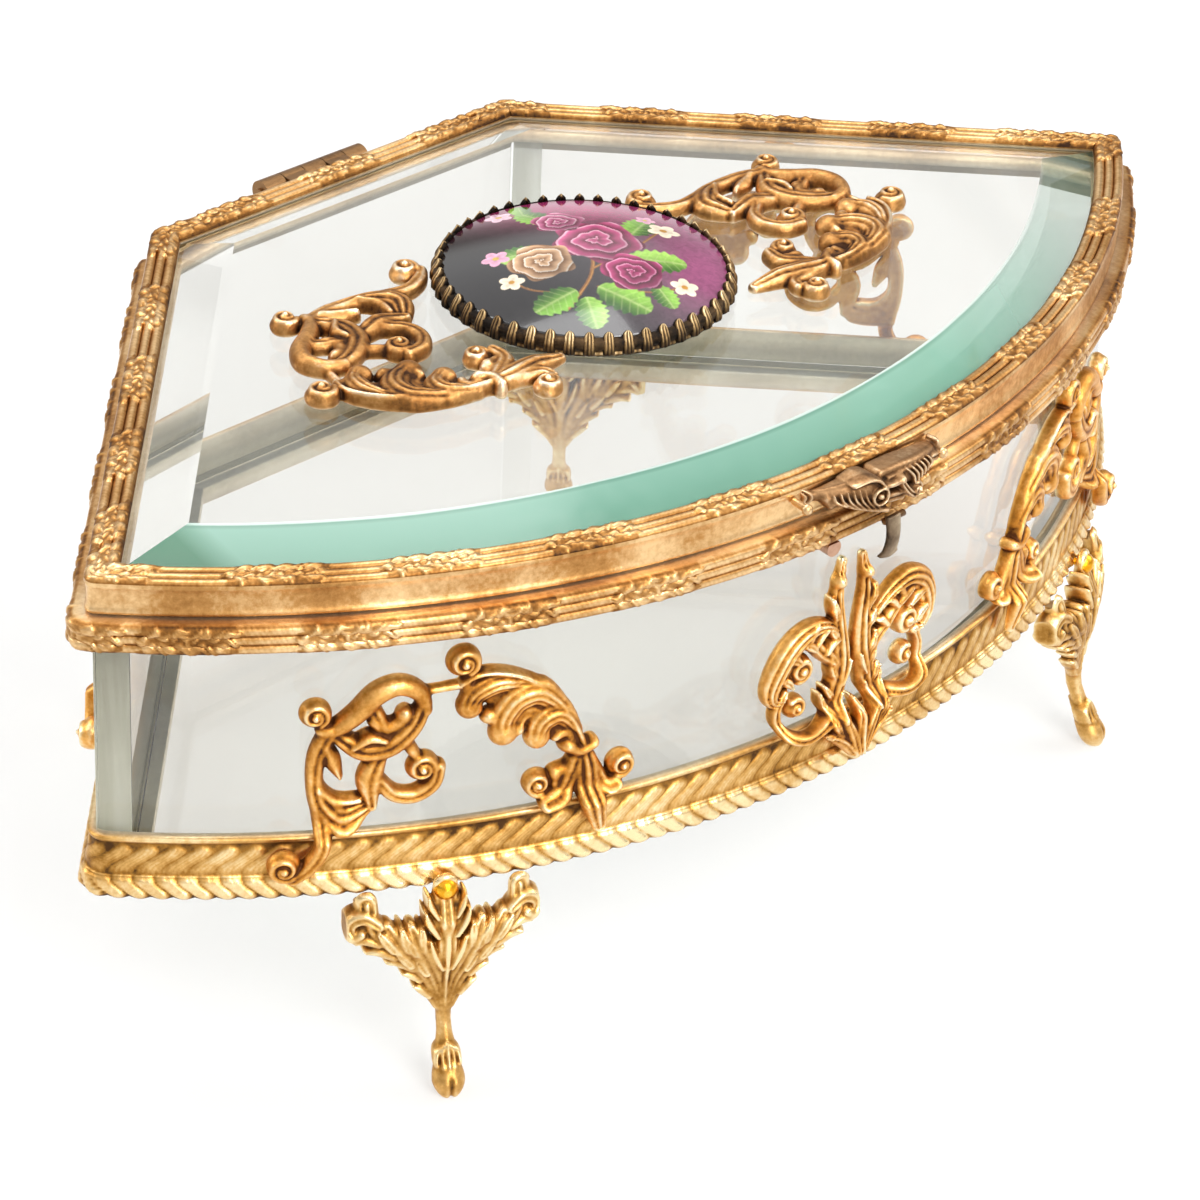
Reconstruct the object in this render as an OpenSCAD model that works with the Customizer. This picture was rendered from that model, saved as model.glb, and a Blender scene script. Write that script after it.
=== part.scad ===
// Fan-shaped bevelled-glass casket with gilt-bronze mounts, a hinged glass lid and a domed medallion.
// Millimetres. +X is to the right, +Y is toward the hinge, +Z is up, and the hooves stand on z = 0.
// Offsets are measured outward from the outer face of the glass walls, which is offset 0.

/* [Plan of the glass walls] */
// Width of the short back wall
back_w = 82; // [60:1:110]
// Width across the two front corners
front_w = 240; // [200:1:280]
// Depth from the back wall to the line of the front corners
side_depth = 82; // [65:1:100]
// How far the front wall bows out past that line
front_bulge = 51; // [35:1:65]

/* [Glass] */
// Height of the wall panes
pane_h = 47.5; // [38:0.5:60]
// Thickness of the wall panes
pane_t = 5.5; // [3:0.1:7]
// Thickness of the bottom pane
floor_t = 4; // [2:0.1:6]
// Thickness of the lid glass inside its bevel
lid_glass_t = 6; // [4.5:0.1:8]
// Height that the bevel rises
bevel_rise = 4.1; // [2:0.1:4.4]
// Width of the bevel
bevel_w = 13.6; // [8:0.2:18]

/* [Base rim] */
// Height of the feet under the base rim
foot_h = 36.5; // [28:0.5:45]
// Height of the leaf band
base_rim_h = 12; // [9:0.5:16]
// Thickness of the ledge that carries the glass
base_ledge_t = 4; // [2:0.5:6]
// Width of that ledge inside the face of the glass
base_ledge_w = 8; // [6.5:0.5:12]
// How far the band stands out at its foot
base_rim_out = 3; // [2:0.1:5]
// How far the band stands out under its lip
base_rim_neck = 1.2; // [0.8:0.1:1.9]

/* [Body rim] */
// Height of the reeded rim round the mouth of the box
body_rim_h = 5.4; // [4:0.1:8]
// Thickness of the flange over the glass
body_flange_t = 1.9; // [1.2:0.1:2.6]
// Width of the flange inside the face of the glass
body_flange_w = 6.5; // [5.8:0.1:9]
// How far the rim stands out
body_rim_out = 3.8; // [2.5:0.1:5]

/* [Lid frame] */
// Gap between the closed lid and the body rim
lid_gap = 0.4; // [0.3:0.1:1]
// Height of the plain band of the lid
lid_band_h = 4.95; // [4.2:0.05:7]
// Thickness of that band
lid_band_t = 1.4; // [1:0.1:2]
// How far the lid frame stands out
lid_out = 1.2; // [0.8:0.1:1.9]
// Width of the reeded moulding over the edge of the glass
lid_mould_w = 5.4; // [4:0.1:8]
// Height of the moulding over the band
lid_mould_h = 1.3; // [1:0.1:2]
// Number of reeds along each moulding
reed_count = 3; // [2:1:5]
// Thickness of the strip that holds the glass from below
retainer_t = 1; // [0.6:0.1:1.3]
// Width of that strip
retainer_w = 3.7; // [2.5:0.1:6]

/* [Corners] */
// Radius of the outer corners of the base rim
base_corner_r = 5; // [3:0.5:7]
// Radius of the outer corners of the body rim
body_corner_r = 4; // [2:0.5:6]
// Radius of the outer corners of the lid frame
lid_corner_r = 2; // [1:0.5:3]

/* [Hinge and clasp] */
// Length of the hinge
hinge_w = 24; // [16:1:40]
// Radius of the hinge barrel
barrel_r = 2.4; // [2:0.1:3]
// Radius of the hinge pin
hinge_pin_r = 1; // [0.6:0.1:1.3]
// Distance of the hinge axis behind the glass
hinge_out = 4.2; // [3.9:0.1:4.8]
// Number of knuckles
knuckle_count = 5; // [3:2:7]
// Sideways place of the middle of the hinge
hinge_x = -2; // [-10:1:10]
// Width of the latch tongue
tongue_w = 2.4; // [1.6:0.1:3]
// Length of the latch tongue from its pivot
tongue_l = 9; // [6:0.5:11]
// How far the clasp stands out
clasp_out = 9; // [8:0.1:11]

/* [Medallion] */
// Outer radius of the claw bezel
bezel_r = 26.2; // [20:0.2:30]
// Height of the bezel with its claws
bezel_h = 4.3; // [3:0.1:6]
// Number of claws
claw_count = 48; // [24:4:60]
// Height of the domed plaque over its edge
plaque_rise = 4.2; // [2:0.1:6]
// Sideways place of the medallion
medallion_x = 2; // [-6:0.5:8]
// Distance of the medallion in front of the back wall
medallion_in = 63.5; // [55:0.5:75]

/* [Scroll mounts] */
// Height of a mount from its upper volute to its foot
mount_h = 38.7; // [34:0.1:40]
// Thickness of the scroll castings
scroll_t = 3; // [1.2:0.1:3.4]
// Extra height of the round volutes
volute_rise = 1.4; // [0.3:0.1:1.5]
// Height of the upper volute of the wall scrolls over the ground
scroll_z = 79.3; // [76:0.1:80]
// Angle of the front left scroll round the bowed wall
front_left_scroll_turn = -26; // [-29:0.5:-22]
// Angle of the front right scroll round the bowed wall
front_right_scroll_turn = 23; // [20:0.5:28]
// Distance of the side scrolls from the back corners
side_scroll_s = 52; // [46:1:62]
// Angle of the centre mount round the bowed wall
centre_mount_turn = -0.3; // [-2:0.1:2]

/* [Lid scrolls] */
// Distance of the left volute outside the bezel
lid_left_reach = 35.4; // [33:0.1:42]
// Direction of that volute from the middle of the medallion
lid_left_way = 182.3; // [175:0.1:190]
// Turn of the crest half of the left scroll
lid_left_crest_turn = -102.5; // [-110:0.5:-95]
// Turn of the scroll half of the left scroll
lid_left_scroll_turn = -81.4; // [-90:0.1:-75]
// Distance of the right volute outside the bezel
lid_right_reach = 37.7; // [35:0.1:42]
// Direction of that volute from the middle of the medallion
lid_right_way = -12.2; // [-20:0.1:-5]
// Turn of the crest half of the right scroll
lid_right_crest_turn = -113.4; // [-120:0.1:-105]
// Turn of the scroll half of the right scroll
lid_right_scroll_turn = -88; // [-95:0.5:-80]

/* [Feet] */
// Width of a foot across the tips of its leaves
foot_w = 29.6; // [24:0.1:34]
// How far a hoof stands out past the base rim
foot_out = 10.2; // [8:0.1:12]
// Angle of the front feet round the bowed wall
front_foot_turn = 27; // [20:0.5:30]
// Distance of the back feet from the back corners
back_foot_s = 13; // [8:0.5:24]
// Radius of the rivet heads
rivet_r = 2.1; // [1.4:0.1:2.6]

/* [Hidden] */
$fn = 64;

// Clearances
seat_gap = 0.05;          // between a mount or a rim and the face that it lies on
joint_gap = 0.1;          // between panes that butt, and between the glass and its strip
glass_gap = 0.2;          // between the lid glass and its band
pin_gap = 0.05;           // round a pin that turns
knuckle_gap = 0.15;       // between knuckles, and beside the tongue
far = 400;                // longer than the whole part
run_past = 30;            // how far a straight run is drawn past its corners before it is cut

// Offsets between which the mitre planes run
mitre_in = -16;
mitre_out = 9;

// Plan
back_half = back_w / 2;
front_half = front_w / 2;
side_run = [front_half - back_half, -side_depth];
side_len = norm(side_run);
side_dir = side_run / side_len;
side_out = [side_depth, front_half - back_half] / side_len;
side_turn = atan2(side_out[1], side_out[0]);
arc_r = (front_half * front_half + front_bulge * front_bulge) / (2 * front_bulge);
arc_y = arc_r - side_depth - front_bulge;

// Heights
ledge_z = foot_h + base_ledge_t;
base_top = foot_h + base_rim_h;
pane_top = ledge_z + pane_h;
body_top = pane_top + body_flange_t;
body_rim_z = body_top - body_rim_h;
lid_z = body_top + lid_gap;
band_top = lid_z + lid_band_h;
glass_z = lid_z + 0.9 + retainer_t;
crown_z = glass_z + lid_glass_t;
glass_edge = -(lid_band_t - lid_out) - glass_gap;
mould_in = lid_out - lid_mould_w;

// Tabs of the feet in front of the base rim, and the rivets through them
foot_tab_t = 1.7;
rivet_shank_r = 0.7;
rivet_z = foot_h + 1.4;

// Hinge, latch and clasp
hinge_z = lid_z + 3.3;
latch_z = body_top - 3.7;
latch_out = body_rim_out + 1.7;
latch_turn = 0.75;
tongue_r = 1.2;
latch_pin_r = 0.6;
latch_pin_l = 9;
clasp_pin_r = 0.65;
clasp_head_r = 1;
clasp_pin_seat = 4.4;
clasp_pin_places = [[-5.7, 3.9], [5, 2.7]];   // angle round the front, height over the lid's lower edge

// Shift of the plan that puts the origin in the middle of the whole part's box
shift_y = -(hinge_out + barrel_r - (arc_r + clasp_out - arc_y)) / 2;

// ---- Corners of the plan at an offset ----

// Right back corner of the outline at offset o
function back_corner(o) =
    [(side_out[0] * back_half + o - side_out[1] * o) / side_out[0], o];

// Right front corner of the outline at offset o
function front_corner(o) =
    let (p = back_corner(o))
    let (w = p - [0, arc_y])
    let (b = w * side_dir)
    let (c = w * w - (arc_r + o) * (arc_r + o))
    p + (sqrt(b * b - c) - b) * side_dir;

function flip(p) = [-p[0], p[1]];

// ---- Curves ----

// Point at t on the smooth curve through b and c
function spline_point(a, b, c, d, t) =
    0.5 * (2 * b + (c - a) * t + (2 * a - 5 * b + 4 * c - d) * t * t
        + (3 * b - a - 3 * c + d) * t * t * t);

// Smooth open curve through the points
function curve(points, steps = 4) =
    let (n = len(points) - 1)
    concat(
        [for (i = [0:n - 1], k = [0:steps - 1])
            spline_point(points[max(i - 1, 0)], points[i], points[i + 1],
                points[min(i + 2, n)], k / steps)],
        [points[n]]);

// Unit normal of a curve at its point i
function normal_at(line, i) =
    let (n = len(line) - 1)
    let (d = line[min(i + 1, n)] - line[max(i - 1, 0)])
    let (u = [d[0], d[1]] / norm([d[0], d[1]]))
    [-u[1], u[0]];

// Outline of a band along points of [x, y, width]
function band_outline(points) =
    let (line = curve(points))
    concat(
        [for (i = [0:len(line) - 1]) [line[i][0], line[i][1]] + normal_at(line, i) * line[i][2] / 2],
        [for (i = [len(line) - 1:-1:0]) [line[i][0], line[i][1]] - normal_at(line, i) * line[i][2] / 2]);

// Half-round reeds along a straight edge from p to q, bulging to the left of the run
function reeds(p, q, count, steps = 6) =
    let (w = norm(q - p) / count)
    let (u = (q - p) / norm(q - p))
    let (v = [-u[1], u[0]])
    [for (i = [0:count - 1], k = [0:steps - (i == count - 1 ? 0 : 1)])
        p + u * (i * w + w / 2 * (1 - cos(180 * k / steps))) + v * w * 0.32 * sin(180 * k / steps)];

// ---- Placing ----

// Everything is drawn with the glass of the back wall at y = 0 and shifted once, here
module place() {
    translate([0, shift_y, 0]) children();
}

// Frame on the bowed front wall: x runs to the right, -y outward
module on_front(turn) {
    translate([0, arc_y, 0]) rotate([0, 0, turn]) translate([0, -arc_r, 0]) children();
}

// Frame on the right side wall, s from the back corner: x runs to the back, -y outward
module on_right(s) {
    translate([back_half + side_dir[0] * s, side_dir[1] * s, 0])
        rotate([0, 0, 90 + side_turn]) children();
}

module on_left(s) {
    mirror([1, 0, 0]) on_right(s) children();
}

// ---- Runs of a profile whose x is the offset and whose y is the height ----

module front_run() {
    p = front_corner(mitre_out);
    span = atan2(p[0], arc_y - p[1]) + 2;
    translate([0, arc_y, 0])
        rotate([0, 0, 270 - span])
            rotate_extrude(angle = 2 * span, $fn = 240)
                translate([arc_r, 0]) children();
}

module right_run() {
    translate([back_half, 0, 0])
        rotate([90, 0, side_turn])
            translate([0, 0, -run_past]) linear_extrude(side_len + 2 * run_past) children();
}

module back_run() {
    translate([-back_half - run_past, 0, 0])
        rotate([90, 0, 90]) linear_extrude(back_w + 2 * run_past) children();
}

// The run of one side is kept between the mitre planes at its corners
module front_sector() {
    p = front_corner(mitre_in);
    q = front_corner(mitre_out);
    linear_extrude(far)
        polygon([p, q, [q[0], -far], [-q[0], -far], flip(q), flip(p)]);
}

module right_sector() {
    linear_extrude(far)
        polygon([back_corner(mitre_in), back_corner(mitre_out),
            front_corner(mitre_out), front_corner(mitre_in)]);
}

module back_sector() {
    p = back_corner(mitre_in);
    q = back_corner(mitre_out);
    linear_extrude(far) polygon([p, q, flip(q), flip(p)]);
}

// What is filed off a right front corner at offset o to round it to radius r
module front_corner_waste(o, r) {
    c = front_corner(o - r);
    radial = (c - [0, arc_y]) / norm(c - [0, arc_y]);
    linear_extrude(far)
        difference() {
            polygon([c, c + (r + 1) * radial, c + 2.4 * (front_corner(o) - c), c + (r + 1) * side_out]);
            translate(c) circle(r);
        }
}

// The same at a right back corner
module back_corner_waste(o, r) {
    c = back_corner(o - r);
    linear_extrude(far)
        difference() {
            polygon([c, c + (r + 1) * side_out, c + 2.4 * (back_corner(o) - c), c + (r + 1) * [0, 1]]);
            translate(c) circle(r);
        }
}

// One mitred side of a rim with its outer corners rounded
module rim_front(o, r) {
    difference() {
        intersection() {
            front_run() children();
            front_sector();
        }
        front_corner_waste(o, r);
        mirror([1, 0, 0]) front_corner_waste(o, r);
    }
}

module rim_right(o, r) {
    difference() {
        intersection() {
            right_run() children();
            right_sector();
        }
        front_corner_waste(o, r);
        back_corner_waste(o, r);
    }
}

module rim_left(o, r) {
    mirror([1, 0, 0]) rim_right(o, r) children();
}

module rim_back(o, r) {
    difference() {
        intersection() {
            back_run() children();
            back_sector();
        }
        back_corner_waste(o, r);
        mirror([1, 0, 0]) back_corner_waste(o, r);
    }
}

// ---- Profiles ----

// Leaf band on an angle: a ledge inside under the glass, a bellied lower row, a hollow neck and a lip
module base_rim_profile() {
    vein = foot_h + base_rim_h * 0.42;
    polygon(concat(
        [[-base_ledge_w, ledge_z], [-base_ledge_w, foot_h + 1], [-base_ledge_w + 1, foot_h]],
        curve([[base_rim_out - 0.7, foot_h], [base_rim_out, foot_h + 1.6],
            [base_rim_out - 0.3, vein - 1], [base_rim_out - 0.8, vein]]),
        curve([[base_rim_neck + 1, vein + 0.6], [base_rim_neck + 0.5, vein + 2.5],
            [base_rim_neck, base_top - 1.8]]),
        [[base_rim_neck + 0.5, base_top - 1.4], [base_rim_neck + 0.5, base_top - 0.3],
            [base_rim_neck + 0.2, base_top], [seat_gap, base_top], [seat_gap, ledge_z]]));
}

// Reeded outer face, and a flange over the top of the panes
module body_rim_profile() {
    polygon(concat(
        reeds([body_rim_out - 0.6, body_top - 0.3], [body_rim_out - 0.6, body_rim_z + 0.3], reed_count),
        [[body_rim_out - 1, body_rim_z], [seat_gap, body_rim_z], [seat_gap, pane_top],
            [-body_flange_w, pane_top], [-body_flange_w, body_top - 0.5],
            [-body_flange_w + 0.5, body_top], [body_rim_out - 1, body_top]]));
}

// Plain band below, reeded moulding turned over the edge of the glass
module lid_frame_profile() {
    polygon(concat(
        [[lid_out - lid_band_t, lid_z], [lid_out - lid_band_t, band_top], [mould_in, band_top],
            [mould_in, band_top + 0.5]],
        reeds([mould_in + 0.2, band_top + lid_mould_h - 0.6],
            [lid_out - 0.1, band_top + lid_mould_h - 0.8], reed_count),
        [[lid_out, band_top + 0.2], [lid_out - 0.35, band_top - 1.4], [lid_out - 0.35, lid_z + 1.2],
            [lid_out, lid_z + 0.8], [lid_out, lid_z]]));
}

// ---- Solid fans ----

// Fan-shaped slab with its edge at offset o
module fan_slab(o, z0, h) {
    translate([0, 0, z0])
        linear_extrude(h)
            intersection() {
                translate([0, arc_y]) circle(arc_r + o, $fn = 240);
                polygon([back_corner(o), back_corner(o) + side_dir * 2 * side_len,
                    flip(back_corner(o) + side_dir * 2 * side_len), flip(back_corner(o))]);
            }
}

// ---- Base rim ----

module base_rim_front() {
    color("gold") place() rim_front(base_rim_out, base_corner_r) base_rim_profile();
}

module base_rim_left() {
    color("gold") place() rim_left(base_rim_out, base_corner_r) base_rim_profile();
}

module base_rim_right() {
    color("gold") place() rim_right(base_rim_out, base_corner_r) base_rim_profile();
}

module base_rim_back() {
    color("gold") place() rim_back(base_rim_out, base_corner_r) base_rim_profile();
}

// ---- Body rim ----

module body_rim_front() {
    color("goldenrod") place() rim_front(body_rim_out, body_corner_r) body_rim_profile();
}

module body_rim_left() {
    color("goldenrod") place() rim_left(body_rim_out, body_corner_r) body_rim_profile();
}

module body_rim_right() {
    color("goldenrod") place() rim_right(body_rim_out, body_corner_r) body_rim_profile();
}

module body_rim_back() {
    color("goldenrod") place() rim_back(body_rim_out, body_corner_r) body_rim_profile();
}

// ---- Wall panes ----

// The bent front pane covers the ends of the side panes, and the back pane does the same
module front_glass() {
    color("lightcyan") place()
        difference() {
            fan_slab(0, ledge_z, pane_h);
            translate([0, arc_y, ledge_z - 1]) cylinder(r = arc_r - pane_t, h = pane_h + 2, $fn = 240);
        }
}

module right_pane() {
    intersection() {
        difference() {
            fan_slab(0, ledge_z, pane_h);
            fan_slab_cutter();
        }
        translate([0, arc_y, 0]) cylinder(r = arc_r - pane_t - joint_gap, h = far, $fn = 240);
        translate([0, -far - pane_t - joint_gap, 0]) cube([far, far, far]);
    }
}

// Everything inside the inner face of the right pane
module fan_slab_cutter() {
    p = back_corner(-pane_t);
    translate([0, 0, ledge_z - 1])
        linear_extrude(pane_h + 2)
            polygon([p - side_dir * 20, p + side_dir * (side_len + 40), [-far, -far], [-far, 20]]);
}

module right_glass() {
    color("lightcyan") place() right_pane();
}

module left_glass() {
    color("lightcyan") place() mirror([1, 0, 0]) right_pane();
}

module back_glass() {
    p = back_corner(0);
    q = back_corner(-pane_t);
    color("lightcyan") place()
        translate([0, 0, ledge_z])
            linear_extrude(pane_h) polygon([p, q, flip(q), flip(p)]);
}

module bottom_glass() {
    color("lightcyan") place() fan_slab(-pane_t - joint_gap, ledge_z, floor_t);
}

// ---- Lid glass ----

lid_edge_z = crown_z - bevel_rise;

// Section of what is ground off the edge, carried on past the glass
module bevel_waste() {
    slope = bevel_rise / bevel_w;
    past = 5;
    polygon([[glass_edge - bevel_w - past, crown_z + past * slope],
        [glass_edge + past, lid_edge_z - past * slope], [glass_edge + past, crown_z + past * slope]]);
}

module lid_glass() {
    color("azure") place()
        difference() {
            difference() {
                fan_slab(glass_edge, glass_z, lid_glass_t);
                right_run() bevel_waste();
                mirror([1, 0, 0]) right_run() bevel_waste();
                back_run() bevel_waste();
            }
            front_run() bevel_waste();
        }
}

module lid_glass_retainer() {
    edge = glass_edge + joint_gap;
    color("peru") place()
        difference() {
            fan_slab(edge, glass_z - retainer_t, retainer_t);
            fan_slab(edge - retainer_w, glass_z - retainer_t - 1, retainer_t + 2);
        }
}

// ---- Lid frame ----

module lid_frame_front() {
    color("darkgoldenrod") place() rim_front(lid_out, lid_corner_r) lid_frame_profile();
}

module lid_frame_left() {
    color("darkgoldenrod") place() rim_left(lid_out, lid_corner_r) lid_frame_profile();
}

module lid_frame_right() {
    color("darkgoldenrod") place() rim_right(lid_out, lid_corner_r) lid_frame_profile();
}

module lid_frame_back() {
    color("darkgoldenrod") place() rim_back(lid_out, lid_corner_r) lid_frame_profile();
}

// ---- Feet ----

// The foot is drawn at this half width, height and reach, and then set to its own sizes
drawn_half_w = 14.8;
drawn_foot_h = 36.5;
drawn_out = 10.2;

// Right half of the front view, with the underside of the band at height 0: tab, window, arm,
// three leaf tips, ankle and hoof
function drawn_foot() = concat(
    [[1.6, 3.2]],
    curve([[1.9, -3], [4.6, -5.4], [8, -4.2], [9.4, 0]], 3),
    curve([[13.2, 0], [14.8, -2.4], [13.9, -4.4], [11.9, -5]], 2),
    curve([[12.9, -7.9], [11.4, -9.3], [9.4, -9.6]], 2),
    curve([[9.5, -12.3], [8, -13.8], [6.4, -14]], 2),
    curve([[5.4, -16.6], [3.4, -19.6], [1.7, -22.4], [1.4, -25.5], [1.5, -28.5], [2.4, -30.8],
        [2.85, -33.4], [2.7, -36.5]], 2));

function foot_half() = [for (p = drawn_foot())
    [p[0] * foot_w / 2 / drawn_half_w, p[1] > 0 ? foot_h + p[1] : foot_h + p[1] * foot_h / drawn_foot_h]];

// Set a point of the side view to size: x is measured out from the base rim, y down from the band
function side_point(p) = [base_rim_out + p[0] * foot_out / drawn_out, foot_h + p[1] * foot_h / drawn_foot_h];

// Side view: x is the offset outward
function foot_side() = concat(
    [[base_rim_out + seat_gap, foot_h + 3.2], [base_rim_out + foot_tab_t, foot_h + 3.2],
        [base_rim_out + foot_tab_t, foot_h - 1.2]],
    [for (p = curve([[2.3, -3], [3.2, -7], [3.5, -11], [2.9, -17], [3, -22], [4.4, -26.5],
        [7.4, -31.5], [10, -34.9], [10.2, -36.5]])) side_point(p)],
    [for (p = curve([[4.8, -36.5], [4.4, -33.5], [2.6, -29.5], [1, -24.5], [0.2, -20],
        [-0.6, -12], [-3, -4.5], [-7, 0]])) side_point(p)],
    [[base_rim_out + seat_gap, foot_h]]);

// Foot standing outside the wall, with the wall's outer face in the xz plane
module foot() {
    difference() {
        intersection() {
            translate([0, far / 4, 0])
                rotate([90, 0, 0])
                    linear_extrude(far / 2)
                        polygon(concat(foot_half(), [for (i = [len(foot_half()) - 1:-1:0]) flip(foot_half()[i])]));
            translate([20, 0, 0])
                rotate([90, 0, -90]) linear_extrude(40) polygon(foot_side());
        }
        rivet_hole();
    }
}

module rivet_hole() {
    translate([0, 0, rivet_z])
        rotate([90, 0, 0]) cylinder(r = rivet_shank_r + seat_gap, h = far, center = true);
}

module rivet() {
    translate([0, -base_rim_out - foot_tab_t - seat_gap, rivet_z])
        rotate([90, 0, 0]) {
            intersection() {
                sphere(rivet_r);
                cylinder(r = rivet_r, h = rivet_r);
            }
            translate([0, 0, -foot_tab_t]) cylinder(r = rivet_shank_r, h = foot_tab_t + 0.5);
        }
}

module front_right_foot() {
    color("gold") place() on_front(front_foot_turn) foot();
}

module front_left_foot() {
    color("gold") place() on_front(-front_foot_turn) foot();
}

module back_right_foot() {
    color("gold") place() on_right(back_foot_s) foot();
}

module back_left_foot() {
    color("gold") place() on_left(back_foot_s) foot();
}

module foot_rivets() {
    color("orange") place() {
        on_front(front_foot_turn) rivet();
        on_front(-front_foot_turn) rivet();
        on_right(back_foot_s) rivet();
        on_left(back_foot_s) rivet();
    }
}

// ---- Scroll mounts ----
// Drawn flat with the upper volute at the origin. The crest half hangs to the right of the volute,
// the scroll half to the left, and a link bar joins them.

// The mounts are drawn for this height, and then set to their own
drawn_mount_h = 38.7;
mount_scale = mount_h / drawn_mount_h;
mount_depth = 12;         // thickness before a wall mount is cut to its section

module stroke(points) {
    polygon(band_outline(points) * mount_scale);
}

// Acanthus crest, knot and forked foot
module crest_shape() {
    stroke([[0, -1, 2.4], [0.4, -3, 2.6], [1.5, -5, 3]]);
    polygon(mount_scale * concat(
        curve([[-0.5, -3.2], [0.8, -2.3], [5.5, -2.7], [10.5, -4.7], [15.5, -9.2],
            [18.6, -14.7], [20.8, -19.6]]),
        curve([[19, -19.9], [17.6, -17.4], [15.2, -17.3]]),
        curve([[12.6, -18.2], [11.6, -16], [9.8, -15.1], [8.3, -15.4]]),
        curve([[5.5, -16.4], [6.2, -13.4], [7.4, -10.9]]),
        curve([[4.4, -9.8], [3, -8.7], [0.2, -9.9], [-0.7, -8]])));
    stroke([[19.4, -19.2, 3], [20.2, -20.8, 4.6], [20.9, -22, 3.4]]);
    stroke([[20.4, -20.5, 2.6], [21.4, -25, 4.2], [21.9, -29.5, 4.4], [23.4, -35, 2.2]]);
    stroke([[19.9, -21.4, 2], [18.4, -25.2, 2.8], [16, -28.4, 2.3], [13.2, -27.6, 1.8]]);
    stroke([[21.2, -21.6, 2], [22.8, -25.2, 2.4], [25.2, -27.5, 2.3], [27.6, -27.2, 1.8]]);
}

// Pierced loop, leafy stem and lower scroll
module scroll_shape() {
    stroke([[-0.4, -4.6, 1.8], [-3.8, -4.9, 1.6], [-7.4, -5.4, 1.8]]);
    stroke([[-6.4, -7.4, 2.4], [-7.4, -4.8, 2.8], [-10.4, -3.2, 3], [-13.6, -4.4, 3.2],
        [-17, -8, 3.2], [-20.4, -10.4, 3.2], [-23, -9.8, 2]]);
    stroke([[-6.4, -6.6, 2.4], [-8, -10.8, 3], [-11.6, -14.2, 3.6], [-15.6, -14.8, 3.4],
        [-18.8, -12.8, 2.8], [-20.8, -10.6, 2.4]]);
    stroke([[-15, -5.6, 2], [-13.6, -8.6, 2.4], [-12.4, -13.6, 2.6]]);
    stroke([[-21.8, -10.6, 2.6], [-23.4, -15.6, 2.6], [-23.6, -21.6, 2.6], [-22.6, -26.8, 2.8],
        [-22.4, -31.4, 2.4], [-24.6, -34.8, 2.6], [-28, -35.6, 2.6]]);
    stroke([[-22, -13.6, 1.8], [-20.6, -16.6, 2.6], [-19.8, -20, 0.8]]);
    polygon(mount_scale * curve([[-23.9, -20.7], [-20.7, -24.2], [-15.6, -24.8], [-14.4, -26.4],
        [-18, -29.3], [-21.6, -28.9], [-23.3, -26]]));
    stroke([[-13, -16, 2.4], [-14.8, -20.6, 3.8], [-14.4, -26, 1.6]]);
    stroke([[-13.6, -21.6, 2.2], [-11, -24, 2.6], [-7.6, -24.4, 2.8], [-4.4, -22.2, 2.9],
        [-3.7, -18.8, 2.8], [-6.2, -16.8, 2.2]]);
    stroke([[-9.4, -12.4, 2], [-8.4, -15, 2], [-7.4, -17.4, 1.8]]);
}

// Volutes of the whole mount as [x, y, radius]
crest_volutes = [[0, 0, 3.1], [13.1, -25.6, 2.3], [27.6, -25.6, 2.4]];
scroll_volutes = [[-23.6, -7.4, 2.7], [-28.5, -35.2, 3], [-7, -18.2, 1.9]];

// Flat casting of a mount, t thick, with its volutes raised
module casting(t, volutes) {
    linear_extrude(t) children();
    for (v = volutes * mount_scale) {
        translate([v[0], v[1], 0]) {
            cylinder(r = v[2], h = t + volute_rise / 2);
            cylinder(r = v[2] * 0.6, h = t + volute_rise);
        }
    }
}

module scroll_casting(t) {
    casting(t, crest_volutes) crest_shape();
    casting(t, scroll_volutes) scroll_shape();
}

// Section of a wall mount: it lies on the glass, and its foot steps out over the leaf band
module wall_mount_section(top) {
    step_z = base_top + seat_gap;
    polygon([[seat_gap, step_z], [seat_gap, top], [scroll_t + volute_rise, top],
        [scroll_t + volute_rise, step_z + 4], [base_rim_out + scroll_t, step_z + 0.5],
        [base_rim_out + scroll_t, foot_h - 2], [base_rim_out + seat_gap, foot_h - 2],
        [base_rim_out + seat_gap, base_top - 4], [base_rim_neck + 0.5 + seat_gap, base_top - 2.5],
        [base_rim_neck + 0.5 + seat_gap, step_z]]);
}

// Flat drawing stood up against the wall, thick enough to be cut to the section
module stand_up(z) {
    translate([0, 4, z]) rotate([90, 0, 0]) children();
}

module front_scroll(turn, hand) {
    intersection() {
        on_front(turn)
            stand_up(scroll_z) mirror([hand < 0 ? 1 : 0, 0, 0]) scroll_casting(mount_depth);
        front_run() wall_mount_section(body_rim_z - seat_gap);
    }
}

module front_left_scroll() {
    color("orange") place() front_scroll(front_left_scroll_turn, 1);
}

module front_right_scroll() {
    color("orange") place() front_scroll(front_right_scroll_turn, -1);
}

module right_scroll() {
    intersection() {
        on_right(side_scroll_s) stand_up(scroll_z) scroll_casting(mount_depth);
        right_run() wall_mount_section(body_rim_z - seat_gap);
    }
}

module right_side_scroll() {
    color("orange") place() right_scroll();
}

module left_side_scroll() {
    color("orange") place() mirror([1, 0, 0]) right_scroll();
}

// ---- Centre mount ----
// Drawn flat with the lower tip near the origin.

module centre_stem() {
    polygon(mount_scale * concat(
        curve([[-1, -0.4], [-5, 4], [-8, 9.6], [-5.4, 13.4], [-4, 19], [-5.6, 26], [-6.2, 31], [-3, 38]]),
        curve([[-2, 35], [-1.6, 29.5], [-1.1, 24]]),
        curve([[-0.5, 29.5], [0.4, 34], [1.6, 37.4]]),
        curve([[3.4, 32], [2.8, 26], [3.6, 19], [4.8, 13.4], [6.4, 9.6], [3.4, 4]])));
}

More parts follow.
